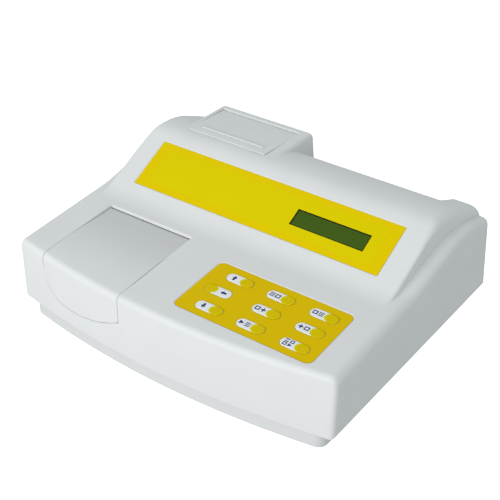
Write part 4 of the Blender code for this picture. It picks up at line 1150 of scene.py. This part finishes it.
# Outlines in millimetres about the middle of a key's white end.
MARKS = {
    "key_up": arrow(0),
    "key_left": arrow(1),
    "key_down": arrow(2),
    "key_menu": rows_mark(-3, 0, 5) + box_mark(3, 0, 4.8),
    "key_print": box_mark(-3, 0, 4.8) + rows_mark(3, 0, 5),
    "key_zero": box_mark(-3, 0, 4.8) + plus_mark(3, 0, 5),
    "key_store": plus_mark(-3, 0, 5) + box_mark(3, 0, 4.8),
    "key_test": wedge_mark(-3, 0, 4.8) + rows_mark(3, 0, 5),
    "key_enter": rows_mark(-2.6, 2.3, 3.8, 2, 1.1) + box_mark(2.6, 2.3, 3.8, 0.9)
    + box_mark(-2.6, -2.3, 3.8, 0.9) + wedge_mark(2.6, -2.3, 3.8),
}


def key_mark(name):
    """The printed mark on a key's white end, as a film of ink just proud of the cap."""
    middle = MARK_CENTRE if name == "key_left" else -MARK_CENTRE
    below, above = MARK_DEPTH
    bm = bmesh.new()
    for shape in MARKS[name]:
        outline = [(middle + x / 1000, y / 1000) for x, y in shape]
        heights = (KEY_TOP - below, KEY_TOP + above)
        bridged([at_height(outline, z) for z in heights], into=bm)
    place = DECK_FRAME @ Matrix.Translation((*centre_on_deck(name), 0))
    mark = to_object(f"{name}_mark", bm, MARK_INK, place)
    piece(mark, NODE_BODY[name], "key_film")


# ---- mechanical parts with softened edges -------------------------------------------------

def refined(name, width):
    """The CAD part's own shape with its edges rounded."""
    bm = bmesh.new()
    bm.from_mesh(frame["nodes"][name].data)
    bmesh.ops.remove_doubles(bm, verts=bm.verts, dist=1e-6)
    bmesh.ops.dissolve_limit(bm, angle_limit=math.radians(0.5), verts=bm.verts, edges=bm.edges)
    obj = to_object(f"{name}_fine", bm, SLOT_MATERIAL[NODE_SLOT[name]], sharp=40)
    soften(obj, width)
    piece(obj, NODE_BODY[name], NODE_SLOT[name], name)


def paint_cad_nodes():
    """Every CAD part that still shows gets its procedural material."""
    for name, obj in frame["nodes"].items():
        obj.data.materials.clear()
        obj.data.materials.append(SLOT_MATERIAL[NODE_SLOT[name]])


EDGE_WIDTHS = {
    "sample_compartment": 0.0004, "cell_block": 0.0005, "rear_panel": 0.0002,
    "power_inlet": 0.0004, "switch_frame": 0.0004, "serial_port": 0.0002,
    "power_switch": 0.0003, "printer_frame": 0.0003, "print_head": 0.0003,
    "platen_gear": 0.00012, "motor_gear": 0.00012, "printer_motor": 0.0004,
    "case_screw_1": 0.0002, "case_screw_2": 0.0002, "case_screw_3": 0.0002,
    "case_screw_4": 0.0002, "panel_screw_1": 0.0002, "panel_screw_2": 0.0002,
}


# ---- studio -------------------------------------------------------------------------------

CAMERA_LENS = 78.56             # in millimetres, on a film 36 mm wide
CAMERA_PLACE = (0.5088, -0.7303, 0.6470)
CAMERA_ANGLES = (35.06, 32.82, 0.94)    # azimuth, elevation and roll in degrees
SKY_GLOW = 0.71
SKY_TINT = (0.93, 0.98, 1.0)
FLOOR_GLOW = 0.55               # of the sky below the horizon
HORIZON = 0.12                  # half the height over which one blends into the other
FLOOR_WHITE = 0.90
FLOOR_EMISSION = 0.85
LIGHT_PLACE = (-0.25, -2.5, 0.78)
LIGHT_TARGET = (0, 0, 0.06)
LIGHT_SIZE = (2.2, 1.2)
LIGHT_POWER = 38


def camera():
    """The viewpoint: from the front right and above, rolled by less than one degree."""
    data = bpy.data.cameras.new("camera")
    data.lens = CAMERA_LENS
    data.sensor_width = 36
    obj = bpy.data.objects.new("camera", data)
    bpy.context.scene.collection.objects.link(obj)
    azimuth, elevation, roll = (math.radians(a) for a in CAMERA_ANGLES)
    back = Vector((math.sin(azimuth) * math.cos(elevation),
                   -math.cos(azimuth) * math.cos(elevation), math.sin(elevation)))
    right = Vector((math.cos(azimuth), math.sin(azimuth), 0))
    up = back.cross(right)
    rolled_right = right * math.cos(roll) + up * math.sin(roll)
    rolled_up = up * math.cos(roll) - right * math.sin(roll)
    turn = Matrix((rolled_right, rolled_up, back)).transposed()
    obj.matrix_world = Matrix.Translation(CAMERA_PLACE) @ turn.to_4x4()
    bpy.context.scene.camera = obj


def key_light():
    """One broad light in front of the object and a little above it."""
    data = bpy.data.lights.new("key_light", "AREA")
    data.shape = "RECTANGLE"
    data.size, data.size_y = LIGHT_SIZE
    data.energy = LIGHT_POWER
    obj = bpy.data.objects.new("key_light", data)
    bpy.context.scene.collection.objects.link(obj)
    obj.location = LIGHT_PLACE
    direction = Vector(LIGHT_TARGET) - Vector(LIGHT_PLACE)
    obj.rotation_mode = "QUATERNION"
    obj.rotation_quaternion = direction.to_track_quat("-Z", "Y")


def sky():
    """A soft pale sky, dimmer below the horizon."""
    world = bpy.data.worlds.new("studio")
    world.use_nodes = True
    background = world.node_tree.nodes["Background"]
    coordinates = node(world, "ShaderNodeTexCoord")
    split = node(world, "ShaderNodeSeparateXYZ")
    link(world, coordinates.outputs["Generated"], split.inputs["Vector"])
    glow = ramp(world, split.outputs["Z"], -HORIZON, HORIZON, FLOOR_GLOW, SKY_GLOW)
    link(world, glow, background.inputs["Strength"])
    background.inputs["Color"].default_value = (*SKY_TINT, 1)
    bpy.context.scene.world = world
    bpy.context.scene.view_settings.view_transform = "Standard"
    bpy.context.scene.view_settings.look = "None"


def floor_sheet():
    """A glowing pale floor that neither lights the object nor shows in its gloss."""
    white = (FLOOR_WHITE, FLOOR_WHITE, FLOOR_WHITE)
    mat, shader = new_material("pale_floor", white, 0.8)
    shader.inputs["Emission Color"].default_value = (1, 1, 1, 1)
    shader.inputs["Emission Strength"].default_value = FLOOR_EMISSION
    add_clouds(mat, noise(mat, 6, 2), white, 0.0055)
    bm = bmesh.new()
    bmesh.ops.create_grid(bm, x_segments=1, y_segments=1, size=12)
    floor = to_object("floor", bm, mat)
    floor.visible_diffuse = False
    floor.visible_glossy = False


# ---- assembly -----------------------------------------------------------------------------


camera()
sky()
key_light()
floor_sheet()
paint_cad_nodes()
casing_shell()
tray_shell()
for foot in ("foot_front_left", "foot_front_right", "foot_rear_left", "foot_rear_right"):
    foot_pad(foot)
lid_shell()
door_shell()
display_film()
lcd_pane()
keypad_film()
for key_name in KEY_NAMES:
    key_cap(key_name)
    key_mark(key_name)
for part_name, edge_width in EDGE_WIDTHS.items():
    refined(part_name, edge_width)
